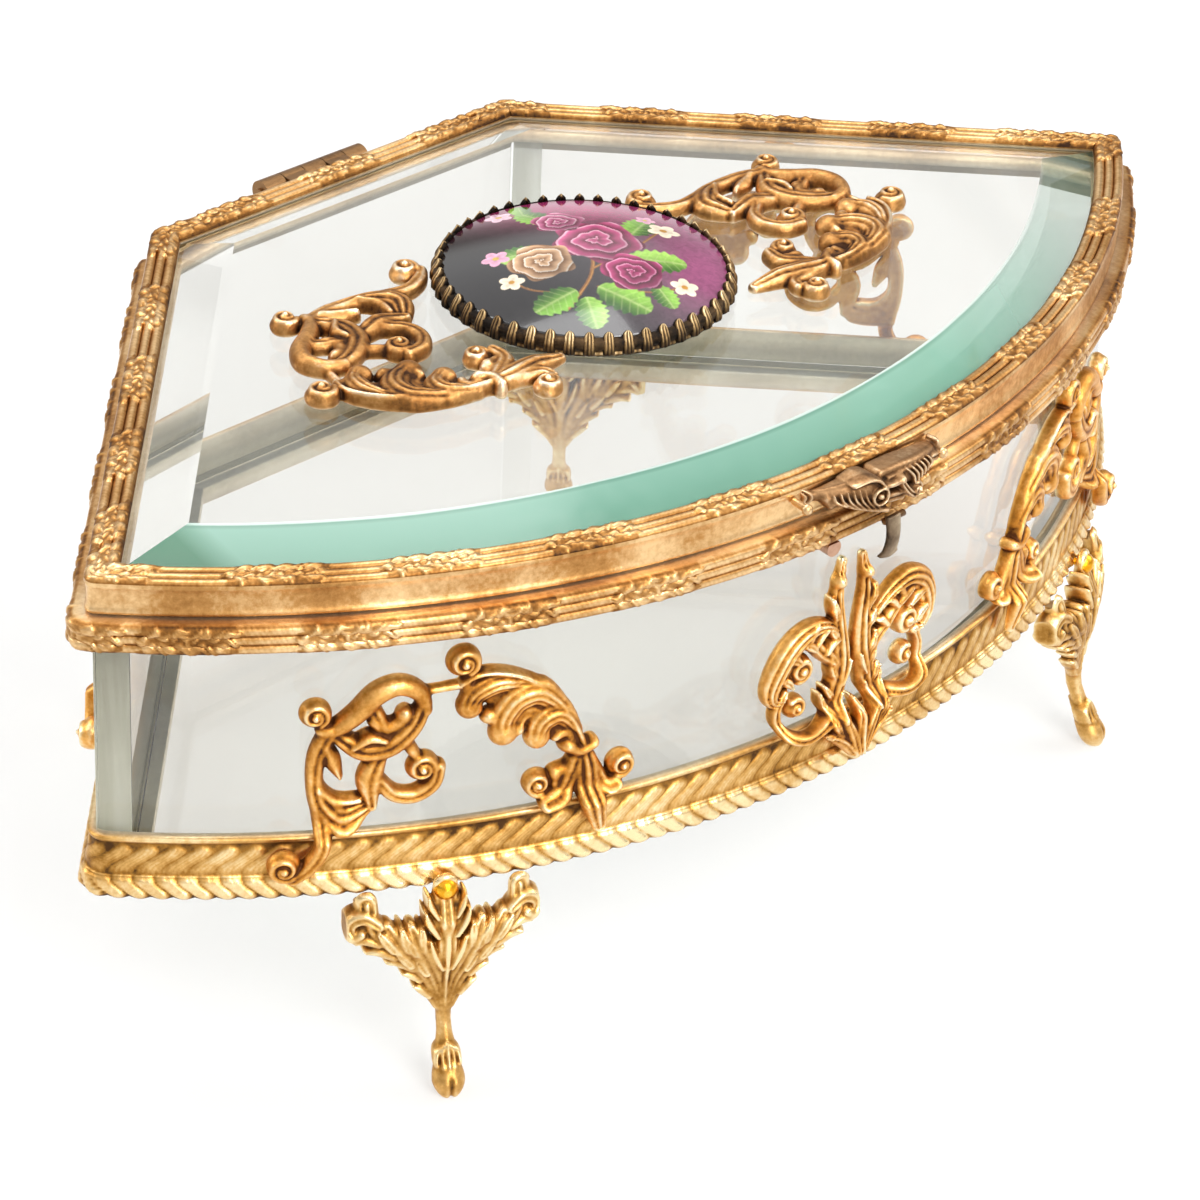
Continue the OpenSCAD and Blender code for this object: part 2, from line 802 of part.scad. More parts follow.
module centre_wing() {
    stroke([[-4.2, 22.6, 2.6], [-8, 28.2, 2.8], [-13, 30.2, 3], [-18.7, 28.5, 3.1], [-21.9, 24.1, 3.1],
        [-22.1, 19.5, 2.9], [-18.9, 16.5, 2.8], [-14.7, 16.2, 2.6], [-11.5, 18.3, 2.2]]);
    stroke([[-12.4, 30, 2], [-11, 25, 2.6], [-6.6, 20.4, 2.8], [-3.4, 18.6, 3]]);
    stroke([[-17.8, 17, 2.2], [-17.6, 12.4, 2.6], [-15, 8.2, 2.8], [-10.6, 7.8, 2.8], [-6, 9.6, 3]]);
    stroke([[-15, 16.2, 2], [-14.4, 13.4, 2]]);
}

centre_volutes = [[-12.2, 20, 2.3], [-13.6, 12.2, 1.9]];

module centre_casting(t) {
    casting(t, concat(centre_volutes, [for (v = centre_volutes) [-v[0], v[1], v[2]]])) {
        centre_stem();
        centre_wing();
        mirror([1, 0]) centre_wing();
    }
}

module front_centre_mount() {
    color("orange") place()
        intersection() {
            on_front(centre_mount_turn) stand_up(scroll_z - mount_h) centre_casting(mount_depth);
            front_run() wall_mount_section(body_rim_z - seat_gap);
        }
}

// ---- Lid scrolls ----

// The two halves of a lid scroll turn apart round the medallion
module lid_scroll(hand, crest_turn, scroll_turn) {
    mirror([hand < 0 ? 1 : 0, 0, 0]) {
        rotate([0, 0, crest_turn]) casting(scroll_t, crest_volutes) crest_shape();
        rotate([0, 0, scroll_turn]) casting(scroll_t, scroll_volutes) scroll_shape();
    }
}

// Place on the lid glass out from the bezel in a direction
module outside_bezel(reach, way) {
    translate([medallion_x, -medallion_in, crown_z + seat_gap])
        translate((bezel_r + reach) * [cos(way), sin(way), 0]) children();
}

module lid_left_scroll() {
    color("orange") place()
        outside_bezel(lid_left_reach, lid_left_way)
            lid_scroll(-1, lid_left_crest_turn, lid_left_scroll_turn);
}

module lid_right_scroll() {
    color("orange") place()
        outside_bezel(lid_right_reach, lid_right_way)
            lid_scroll(1, lid_right_crest_turn, lid_right_scroll_turn);
}

// ---- Medallion ----

module medallion_bezel() {
    claw_w = 360 / claw_count;
    color("saddlebrown") place()
        translate([medallion_x, -medallion_in, crown_z + seat_gap])
            difference() {
                rotate_extrude()
                    polygon([[bezel_r - 3.6, 0], [bezel_r - 0.8, 0], [bezel_r - 0.4, bezel_h * 0.45],
                        [bezel_r, bezel_h * 0.7], [bezel_r - 0.4, bezel_h], [bezel_r - 1.4, bezel_h],
                        [bezel_r - 1.5, 1], [bezel_r - 3.6, 1]]);
                for (i = [0:claw_count - 1])
                    rotate([0, 0, i * claw_w])
                        translate([bezel_r - 3, 0, 0])
                            rotate([90, 0, 90])
                                linear_extrude(6)
                                    polygon([[0, bezel_h * 0.6],
                                        [bezel_r * PI / claw_count * 0.7, bezel_h + 0.1],
                                        [-bezel_r * PI / claw_count * 0.7, bezel_h + 0.1]]);
            }
}

module medallion_plaque() {
    edge_r = bezel_r - 1.5 - joint_gap;
    edge_z = 1 + seat_gap + 2;
    dome_r = (edge_r * edge_r + plaque_rise * plaque_rise) / (2 * plaque_rise);
    color("dimgray") place()
        translate([medallion_x, -medallion_in, crown_z + seat_gap])
            intersection() {
                translate([0, 0, 1 + seat_gap]) cylinder(r = edge_r, h = 20);
                translate([0, 0, edge_z + plaque_rise - dome_r]) sphere(dome_r, $fn = 240);
            }
}

// ---- Hinge ----

knuckle_w = hinge_w / knuckle_count;
leaf_t = 1.2;

// Knuckles number first, first + 2 and so on
module knuckles(first) {
    for (i = [first:2:knuckle_count - 1])
        translate([hinge_x - hinge_w / 2 + i * knuckle_w + knuckle_gap / 2, hinge_out, hinge_z])
            rotate([0, 90, 0]) cylinder(r = barrel_r, h = knuckle_w - knuckle_gap);
}

module hinge_bore(r) {
    translate([hinge_x, hinge_out, hinge_z])
        rotate([0, 90, 0]) cylinder(r = r, h = hinge_w + 4, center = true);
}

module hinge_body_leaf() {
    leaf_y = body_rim_out + seat_gap;
    color("sienna") place()
        difference() {
            union() {
                knuckles(0);
                translate([hinge_x - hinge_w / 2, leaf_y, body_rim_z + 0.3])
                    cube([hinge_w, leaf_t, hinge_z - barrel_r - 0.3 - body_rim_z - 0.3]);
                for (i = [0:2:knuckle_count - 1])
                    translate([hinge_x - hinge_w / 2 + i * knuckle_w + knuckle_gap / 2, leaf_y, body_rim_z + 0.3])
                        cube([knuckle_w - knuckle_gap, leaf_t, hinge_z - body_rim_z - 0.3]);
            }
            hinge_bore(hinge_pin_r + pin_gap / 5);
        }
}

module hinge_pin() {
    color("saddlebrown") place()
        translate([hinge_x, hinge_out, hinge_z])
            rotate([0, 90, 0]) cylinder(r = hinge_pin_r, h = hinge_w + 1, center = true);
}

module hinge_lid_leaf() {
    leaf_y = lid_out + seat_gap;
    color("sienna") place()
        difference() {
            union() {
                knuckles(1);
                for (i = [1:2:knuckle_count - 1])
                    translate([hinge_x - hinge_w / 2 + i * knuckle_w + knuckle_gap / 2, leaf_y,
                        hinge_z - barrel_r - 0.2])
                        cube([knuckle_w - knuckle_gap, hinge_out - leaf_y, barrel_r * 2]);
            }
            hinge_bore(hinge_pin_r + pin_gap);
        }
}

// ---- Clasp and latch ----

// Gadrooned shell lying along x: round boss at the origin, falling to the point with its pin at x = l
module clasp_half(l, w) {
    fall = atan((clasp_out - clasp_pin_seat - 0.6) / l);
    difference() {
        intersection() {
            linear_extrude(clasp_out)
                union() {
                    circle(w / 2);
                    polygon([[0, -w / 2], [l, -1.2], [l, 1.2], [0, w / 2]]);
                    translate([l, 0]) circle(1.9);
                }
            translate([0, 0, clasp_out - 7])
                rotate([0, 90 + fall, 0]) cylinder(r = 7, h = 60, center = true, $fn = 160);
        }
        for (i = [1:6])
            translate([w / 2 + i * (l - w / 2 - 2.4) / 6, 0,
                clasp_out + 0.3 - tan(fall) * (w / 2 + i * (l - w / 2 - 2.4) / 6)])
                rotate([90, 0, 24]) cylinder(r = 0.75, h = 30, center = true);
    }
    cylinder(r = 1.6, h = clasp_out);
}

// Behind the shells: clear of the body rim below, on the lid band above
module clasp_back_section() {
    polygon([[lid_out + seat_gap, lid_z + 0.1], [lid_out + seat_gap, band_top + 0.9],
        [clasp_out + 1, band_top + 0.9], [clasp_out + 1, body_rim_z - 2],
        [latch_out - tongue_r - 0.1, body_rim_z - 2], [latch_out - tongue_r - 0.1, lid_z + 0.1]]);
}

module clasp_shell() {
    color("saddlebrown") place()
        difference() {
            intersection() {
                union() {
                    on_front(latch_turn - 1.3) translate([0, 0, body_rim_z + 4.2])
                        rotate([90, 0, 0]) rotate([0, 0, 180 - 22]) clasp_half(14.5, 8);
                    on_front(latch_turn + 1.7) translate([0, 0, body_rim_z + 4.6])
                        rotate([90, 0, 0]) rotate([0, 0, 24]) clasp_half(10, 6.4);
                    on_front(latch_turn) translate([-6, -clasp_out + 1.2, body_rim_z + 5])
                        cube([12, clasp_out - 3, 4.2]);
                }
                front_run() clasp_back_section();
            }
            latch_pocket();
            latch_bore(latch_pin_r + pin_gap / 5);
            clasp_pin_holes();
        }
}

// Room for the tongue and its swing, open below and to the front
module latch_pocket() {
    on_front(latch_turn)
        translate([-tongue_w / 2 - knuckle_gap, -latch_out - tongue_r - 2.1, body_rim_z - 4])
            cube([tongue_w + 2 * knuckle_gap, tongue_r + 2.1 + latch_out - body_rim_out,
                latch_z + tongue_r + 0.3 - body_rim_z + 4]);
}

module latch_bore(r) {
    on_front(latch_turn)
        translate([0, -latch_out, latch_z])
            rotate([0, 90, 0]) cylinder(r = r, h = latch_pin_l + 0.2, center = true);
}

module latch_pin() {
    color("saddlebrown") place()
        on_front(latch_turn)
            translate([0, -latch_out, latch_z])
                rotate([0, 90, 0]) cylinder(r = latch_pin_r, h = latch_pin_l, center = true);
}

// Tongue hanging from its pivot, with a tip turned outward
module latch_tongue() {
    color("tan") place()
        on_front(latch_turn)
            translate([0, -latch_out, latch_z])
                difference() {
                    translate([-tongue_w / 2, 0, 0])
                        rotate([0, 90, 0]) {
                            cylinder(r = tongue_r, h = tongue_w);
                            linear_extrude(tongue_w)
                                polygon(concat(
                                    curve([[0, 1], [tongue_l * 0.5, 0.9], [tongue_l * 0.8, 0.4],
                                        [tongue_l, -1]]),
                                    curve([[tongue_l - 0.5, -1.9], [tongue_l * 0.75, -0.8],
                                        [tongue_l * 0.5, -0.3], [0, -0.8]])));
                        }
                    rotate([0, 90, 0]) cylinder(r = latch_pin_r + pin_gap, h = 20, center = true);
                }
}

// Small oval catch under the body rim
module latch_nib() {
    color("goldenrod") place()
        on_front(-3.1)
            translate([0, -seat_gap, body_rim_z - 1])
                rotate([90, 0, 0])
                    intersection() {
                        cylinder(r = 1.5, h = 3.4);
                        translate([-5, -5, 0]) cube([10, 5 + 1 - seat_gap, 10]);
                    }
}

// Holes with flat seats for the heads of the two pins
module clasp_pin_holes() {
    for (p = clasp_pin_places)
        on_front(p[0])
            translate([0, 0, lid_z + p[1]])
                rotate([90, 0, 0]) {
                    cylinder(r = clasp_pin_r + seat_gap, h = far / 10);
                    translate([0, 0, clasp_pin_seat]) cylinder(r = clasp_head_r + joint_gap, h = far / 10);
                }
}

module clasp_pins() {
    color("peru") place()
        for (p = clasp_pin_places)
            on_front(p[0])
                translate([0, 0, lid_z + p[1]])
                    rotate([90, 0, 0]) {
                        translate([0, 0, lid_out + seat_gap])
                            cylinder(r = clasp_pin_r, h = clasp_pin_seat - lid_out);
                        translate([0, 0, clasp_pin_seat + seat_gap])
                            intersection() {
                                sphere(clasp_head_r);
                                cylinder(r = clasp_head_r, h = clasp_head_r);
                            }
                    }
}

base_rim_front();
base_rim_left();
base_rim_right();
base_rim_back();
body_rim_front();
body_rim_left();
body_rim_right();
body_rim_back();
bottom_glass();
front_glass();
left_glass();
right_glass();
back_glass();
front_left_foot();
front_right_foot();
back_left_foot();
back_right_foot();
foot_rivets();
front_left_scroll();
front_right_scroll();
front_centre_mount();
left_side_scroll();
right_side_scroll();
hinge_body_leaf();
hinge_pin();
latch_nib();
lid_frame_front();
lid_frame_left();
lid_frame_right();
lid_frame_back();
lid_glass();
lid_glass_retainer();
medallion_bezel();
medallion_plaque();
lid_left_scroll();
lid_right_scroll();
hinge_lid_leaf();
clasp_shell();
clasp_pins();
latch_pin();
latch_tongue();
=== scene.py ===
import itertools
import math

import bmesh
import bpy
import numpy as np
from mathutils import Matrix, Vector


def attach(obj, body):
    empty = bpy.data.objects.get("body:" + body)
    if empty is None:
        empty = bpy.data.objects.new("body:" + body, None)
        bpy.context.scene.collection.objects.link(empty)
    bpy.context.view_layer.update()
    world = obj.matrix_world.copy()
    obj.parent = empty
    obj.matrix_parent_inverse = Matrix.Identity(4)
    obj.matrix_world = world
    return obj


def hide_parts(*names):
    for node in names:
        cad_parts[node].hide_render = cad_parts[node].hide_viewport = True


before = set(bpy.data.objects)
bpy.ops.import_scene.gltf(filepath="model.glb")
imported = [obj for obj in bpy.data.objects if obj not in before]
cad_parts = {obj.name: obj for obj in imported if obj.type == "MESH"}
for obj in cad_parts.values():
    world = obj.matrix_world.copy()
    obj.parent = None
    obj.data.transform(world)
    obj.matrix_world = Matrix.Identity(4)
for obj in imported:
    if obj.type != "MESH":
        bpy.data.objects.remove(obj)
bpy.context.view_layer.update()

# ---------------------------------------------------------------- sizes, in millimetres, as in the CAD
BACK_HALF = 41.0  # half widths over the glass
FRONT_HALF = 120.0
SIDE_DEPTH = 82.0
BULGE = 51.0
SIDE_LEN = math.hypot(FRONT_HALF - BACK_HALF, SIDE_DEPTH)
SIDE_DIR = np.array([FRONT_HALF - BACK_HALF, -SIDE_DEPTH]) / SIDE_LEN
SIDE_OUT = np.array([SIDE_DEPTH, FRONT_HALF - BACK_HALF]) / SIDE_LEN
ARC_R = (FRONT_HALF ** 2 + BULGE ** 2) / (2 * BULGE)
ARC_Y = ARC_R - SIDE_DEPTH - BULGE
HINGE_BACK = 4.2 + 2.4  # how far the hinge reaches behind the glass, and the clasp before it
CLASP_OUT = 9.0
SHIFT_Y = -(HINGE_BACK - (ARC_R + CLASP_OUT - ARC_Y)) / 2
FOOT_H = 36.5
LEDGE_Z = 40.5
BASE_TOP = 48.5
PANE_TOP = 88.0
PANE_T = 5.5
BODY_TOP = 89.9
BODY_RIM_Z = 84.5
LID_Z = 90.3
BAND_TOP = 95.25
GLASS_Z = 92.2
CROWN_Z = 98.2
SEAT_Z = CROWN_Z + 0.05
LID_EDGE_Z = 94.1
BEVEL_W = 13.6
GLASS_EDGE = -0.4
MED_X = 2.0
MED_Y = -63.5
BEZEL_R = 26.2
CLAWS = 48
MIRROR = np.array([-1, 1])  # turns plan points of the right half into the left half
CORNERS = list(itertools.product((0, 1), repeat=3))
OUTSIDE = 3.0  # field value away from any metal


# ---------------------------------------------------------------- the plan
def back_corner(o):
    return np.array([(SIDE_OUT[0] * BACK_HALF + o - SIDE_OUT[1] * o) / SIDE_OUT[0], o])


def side_hit(o, radius):
    """Where the right side line at offset o meets the front circle of that radius."""
    p = back_corner(o)
    w = p - np.array([0, ARC_Y])
    b = w @ SIDE_DIR
    c = w @ w - radius ** 2
    return p + (math.sqrt(b * b - c) - b) * SIDE_DIR


def front_corner(o):
    return side_hit(o, ARC_R + o)


def arc_angle(p):
    return math.atan2(p[0], ARC_Y - p[1])


def on_arc(angle, radius, *height):
    """Points of a circle round the middle of the bowed front, flat or at a height."""
    flat = radius * np.sin(angle), ARC_Y - radius * np.cos(angle)
    return np.stack(np.broadcast_arrays(*flat, *height), -1)


def on_wall(s, along, out):
    """Points s mm down the right side wall from the back corner, then back along it and outward."""
    return back_corner(0) + SIDE_DIR * s - along[:, None] * SIDE_DIR + out[:, None] * SIDE_OUT


class Path:
    """Closed way round the box at several offsets, anticlockwise from the front left corner.

    run numbers its stretches: 0 front, 2 right, 4 back, 6 left, with the corners 1, 3, 5, 7 between them.
    s is measured from the middle of the stretch, way from the start."""

    def __init__(self, offsets, corner_o, step, turns=10):
        o = np.asarray(offsets, float)
        low = np.minimum(o, corner_o)
        self.out = np.maximum(o - corner_o, 0)[:, None]
        front = np.array([front_corner(v) for v in low])
        back = np.array([back_corner(v) for v in low])
        th = np.array([arc_angle(p) for p in front])
        self.rows = []
        n = int(2 * th[-1] * ARC_R / step)
        for k in range(n + 1):
            a = th * (2 * k / n - 1)
            self.rows.append((on_arc(a, ARC_R + o), [math.sin(a[-1]), -math.cos(a[-1])], 0, ARC_R * a[-1]))
        edge = np.array([math.sin(th[-1]), -math.cos(th[-1])])
        stops = [front, back, back * MIRROR, front * MIRROR]
        faces = [edge, SIDE_OUT, np.array([0.0, 1.0]), SIDE_OUT * MIRROR, edge * MIRROR]
        for k, count in enumerate((turns, turns // 2, turns // 2, turns)):
            self.corner(stops[k], faces[k], faces[k + 1], count, 2 * k + 1)
            if k < 3:
                self.straight(stops[k], stops[k + 1], faces[k + 1], step, 2 * k + 2)
        self.plan, self.normal, self.run, self.s = (np.array(v) for v in zip(*self.rows))
        mid = self.plan[:, len(o) // 2]
        gaps = np.linalg.norm(np.roll(mid, -1, 0) - mid, axis=1)
        self.way = np.concatenate([[0], np.cumsum(gaps)[:-1]])
        self.length = gaps.sum()

    def corner(self, c, n0, n1, count, run):
        a0, a1 = math.atan2(n0[1], n0[0]), math.atan2(n1[1], n1[0])
        if a1 < a0:
            a1 += 2 * math.pi
        for k in range(1, count):
            a = a0 + (a1 - a0) * k / count
            d = np.array([math.cos(a), math.sin(a)])
            self.rows.append((c + self.out * d, d, run, (k / count - 0.5) * 4))

    def straight(self, p, q, n, step, run):
        p, q = p + self.out * n, q + self.out * n
        length = np.linalg.norm(q[-1] - p[-1])
        count = int(length / step)
        for k in range(count + 1):
            t = k / count
            self.rows.append((p * (1 - t) + q * t, n, run, (t - 0.5) * length))


# ---------------------------------------------------------------- meshes
def make(name, verts, faces, material, tone=None, pale=None, weld=False, smooth=True, normals=True):
    """Mesh object from millimetre points in the plan's own frame."""
    v = (np.asarray(verts, np.float64) + [0, SHIFT_Y, 0]) * 0.001
    mesh = bpy.data.meshes.new(name)
    if isinstance(faces, np.ndarray):
        mesh.vertices.add(len(v))
        mesh.vertices.foreach_set("co", v.astype(np.float32).ravel())
        mesh.loops.add(faces.size)
        mesh.loops.foreach_set("vertex_index", faces.astype(np.int32).ravel())
        mesh.polygons.add(len(faces))
        mesh.polygons.foreach_set("loop_start", np.arange(0, faces.size, faces.shape[1], dtype=np.int32))
        mesh.update(calc_edges=True)
    else:
        mesh.from_pydata([tuple(p) for p in v], [], faces)
    for key, values in (("tone", tone), ("pale", pale)):
        if values is not None:
            layer = mesh.attributes.new(key, "FLOAT", "POINT")
            layer.data.foreach_set("value", np.clip(values, 0, 1).astype(np.float32))
    if weld or normals:
        bm = bmesh.new()
        bm.from_mesh(mesh)
        if weld:
            bmesh.ops.remove_doubles(bm, verts=bm.verts, dist=2e-6)
            bmesh.ops.dissolve_degenerate(bm, edges=bm.edges, dist=1e-7)
        if normals:
            bmesh.ops.recalc_face_normals(bm, faces=bm.faces)
        bm.to_mesh(mesh)
        bm.free()
    mesh.polygons.foreach_set("use_smooth", [smooth] * len(mesh.polygons))
    mesh.update()
    for m in material if isinstance(material, (list, tuple)) else [material]:
        mesh.materials.append(m)
    piece = bpy.data.objects.new(name, mesh)
    bpy.context.scene.collection.objects.link(piece)
    return piece


def belongs(piece, body, slot, *nodes):
    """The body a piece rides on, its slot, which is not used, and the CAD nodes it stands in for."""
    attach(piece, body)
    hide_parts(*nodes)


def grid_faces(n, m):
    """Quads of an n by m grid of points, closed both ways."""
    i, j = np.arange(n)[:, None], np.arange(m)[None, :]
    i2, j2 = (i + 1) % n, (j + 1) % m
    return np.stack([i * m + j, i2 * m + j, i2 * m + j2, i * m + j2], -1).reshape(-1, 4)


def edge_of(rows, cols):
    """Indices round the edge of a grid of points, from its first corner along the first row."""
    return (list(range(cols)) + [i * cols + cols - 1 for i in range(1, rows)]
            + [(rows - 1) * cols + j for j in range(cols - 2, -1, -1)]
            + [i * cols for i in range(rows - 2, 0, -1)])


def sheet_faces(rows, cols):
    """Quads of a thin sheet made of two grids of points, one over the other, and the wall between them."""
    k = rows * cols
    faces = []
    for i in range(rows - 1):
        for j in range(cols - 1):
            a, b, c, d = i * cols + j, i * cols + j + 1, (i + 1) * cols + j + 1, (i + 1) * cols + j
            faces += [(a, b, c, d), (k + d, k + c, k + b, k + a)]
    rim = edge_of(rows, cols)
    return np.array(faces + [(b, a, k + a, k + b) for a, b in zip(rim, rim[1:] + rim[:1])])


def resample(points, step):
    """Closed profile with extra points on its long edges; step is a function of the point."""
    p = np.asarray(points, float)
    out = []
    for a, b in zip(p, np.roll(p, -1, 0)):
        n = max(1, int(math.ceil(np.linalg.norm(b - a) / step((a + b) / 2))))
        out += [a + (b - a) * k / n for k in range(n)]
    return np.array(out)


def spline(points, steps=4):
    p = np.asarray(points, float)
    n = len(p) - 1
    out = []
    for i in range(n):
        a, b, c, d = p[max(i - 1, 0)], p[i], p[i + 1], p[min(i + 2, n)]
        for t in np.arange(steps) / steps:
            out.append(0.5 * (2 * b + (c - a) * t + (2 * a - 5 * b + 4 * c - d) * t * t
                              + (3 * b - a - 3 * c + d) * t ** 3))
    return np.array(out + [p[-1]])


def sweep(name, profile, corner_o, step, relief, material, inner):
    """Profile of (offset, height) run round the box: relief(path, profile) gives height and tone, and
    inner(profile) the part that faces into the box, which the gilt paints pale as painted light."""
    path = Path(profile[:, 0], corner_o, step)
    n, m = len(path.plan), len(profile)
    edge = np.roll(profile, -1, 0) - np.roll(profile, 1, 0)
    nrm = np.stack([edge[:, 1], -edge[:, 0]], -1)
    nrm /= np.linalg.norm(nrm, axis=1)[:, None] + 1e-9
    x, y = profile.T
    if np.sum(x * np.roll(y, -1) - np.roll(x, -1) * y) < 0:
        nrm = -nrm
    height, tone = relief(path, profile)
    v = np.zeros((n, m, 3))
    v[:, :, :2] = path.plan + path.normal[:, None, :] * (height * nrm[None, :, 0])[:, :, None]
    v[:, :, 2] = profile[None, :, 1] + height * nrm[None, :, 1]
    # pale: faces into the box, later painted pale as painted light against the shade there
    pale = np.tile(inner(profile) * 1.0, n)
    return make(name, v.reshape(-1, 3), grid_faces(n, m), material, tone.reshape(-1), pale, weld=True)


def skin(f, origin, step):
    """Surface where the field f changes sign, negative inside: one point for each mixed cell."""
    c = {key: f[tuple(slice(k, n - 1 + k) for k, n in zip(key, f.shape))] for key in CORNERS}
    neg = sum((v < 0).astype(np.int8) for v in c.values())
    mask = (neg > 0) & (neg < 8)
    where = np.argwhere(mask)
    index = np.full(mask.shape, -1, np.int64)
    index[mask] = np.arange(len(where))
    corner = {key: v[mask] for key, v in c.items()}
    total = np.zeros((len(where), 3))
    count = np.zeros(len(where))
    for a in CORNERS:
        for axis in range(3):
            if a[axis]:
                continue
            fa, fb = corner[a], corner[a[:axis] + (1,) + a[axis + 1:]]
            cross = (fa < 0) != (fb < 0)
            point = np.tile(np.array(a, float), (len(where), 1))
            point[:, axis] = np.where(cross, fa / np.where(cross, fa - fb, 1), 0)
            total += cross[:, None] * point
            count += cross
    verts = (where + total / count[:, None]) * step + np.asarray(origin)
    faces = []
    sign = f < 0
    for axis in range(3):
        u, w = (axis + 1) % 3, (axis + 2) % 3
        lo = [slice(1, -1)] * 3
        hi = [slice(1, -1)] * 3
        lo[axis] = slice(0, -1)
        hi[axis] = slice(1, None)
        s0, s1 = sign[tuple(lo)], sign[tuple(hi)]
        at = np.argwhere(s0 != s1)
        at[:, u] += 1
        at[:, w] += 1
        quad = []
        for du, dw in ((0, 0), (-1, 0), (-1, -1), (0, -1)):
            q = at.copy()
            q[:, u] += du
            q[:, w] += dw
            quad.append(index[tuple(q.T)])
        quad = np.stack(quad, -1)
        first = s0[s0 != s1]
        quad[~first] = quad[~first][:, ::-1]
        faces.append(quad)
    return verts, np.concatenate(faces)


def box_mean(a, r):
    """Mean of a over a cube of half width r cells."""
    for axis in range(3):
        pad = [(0, 0)] * 3
        pad[axis] = (r + 1, r)
        b = np.moveaxis(np.cumsum(np.pad(a, pad, mode="edge"), axis=axis, dtype=np.float32), axis, 0)
        a = np.moveaxis((b[2 * r + 1:] - b[:a.shape[axis]]) / (2 * r + 1), 0, axis)
    return a


def smoother(t):
    t = np.clip(t, 0, 1)
    return t * t * (3 - 2 * t)


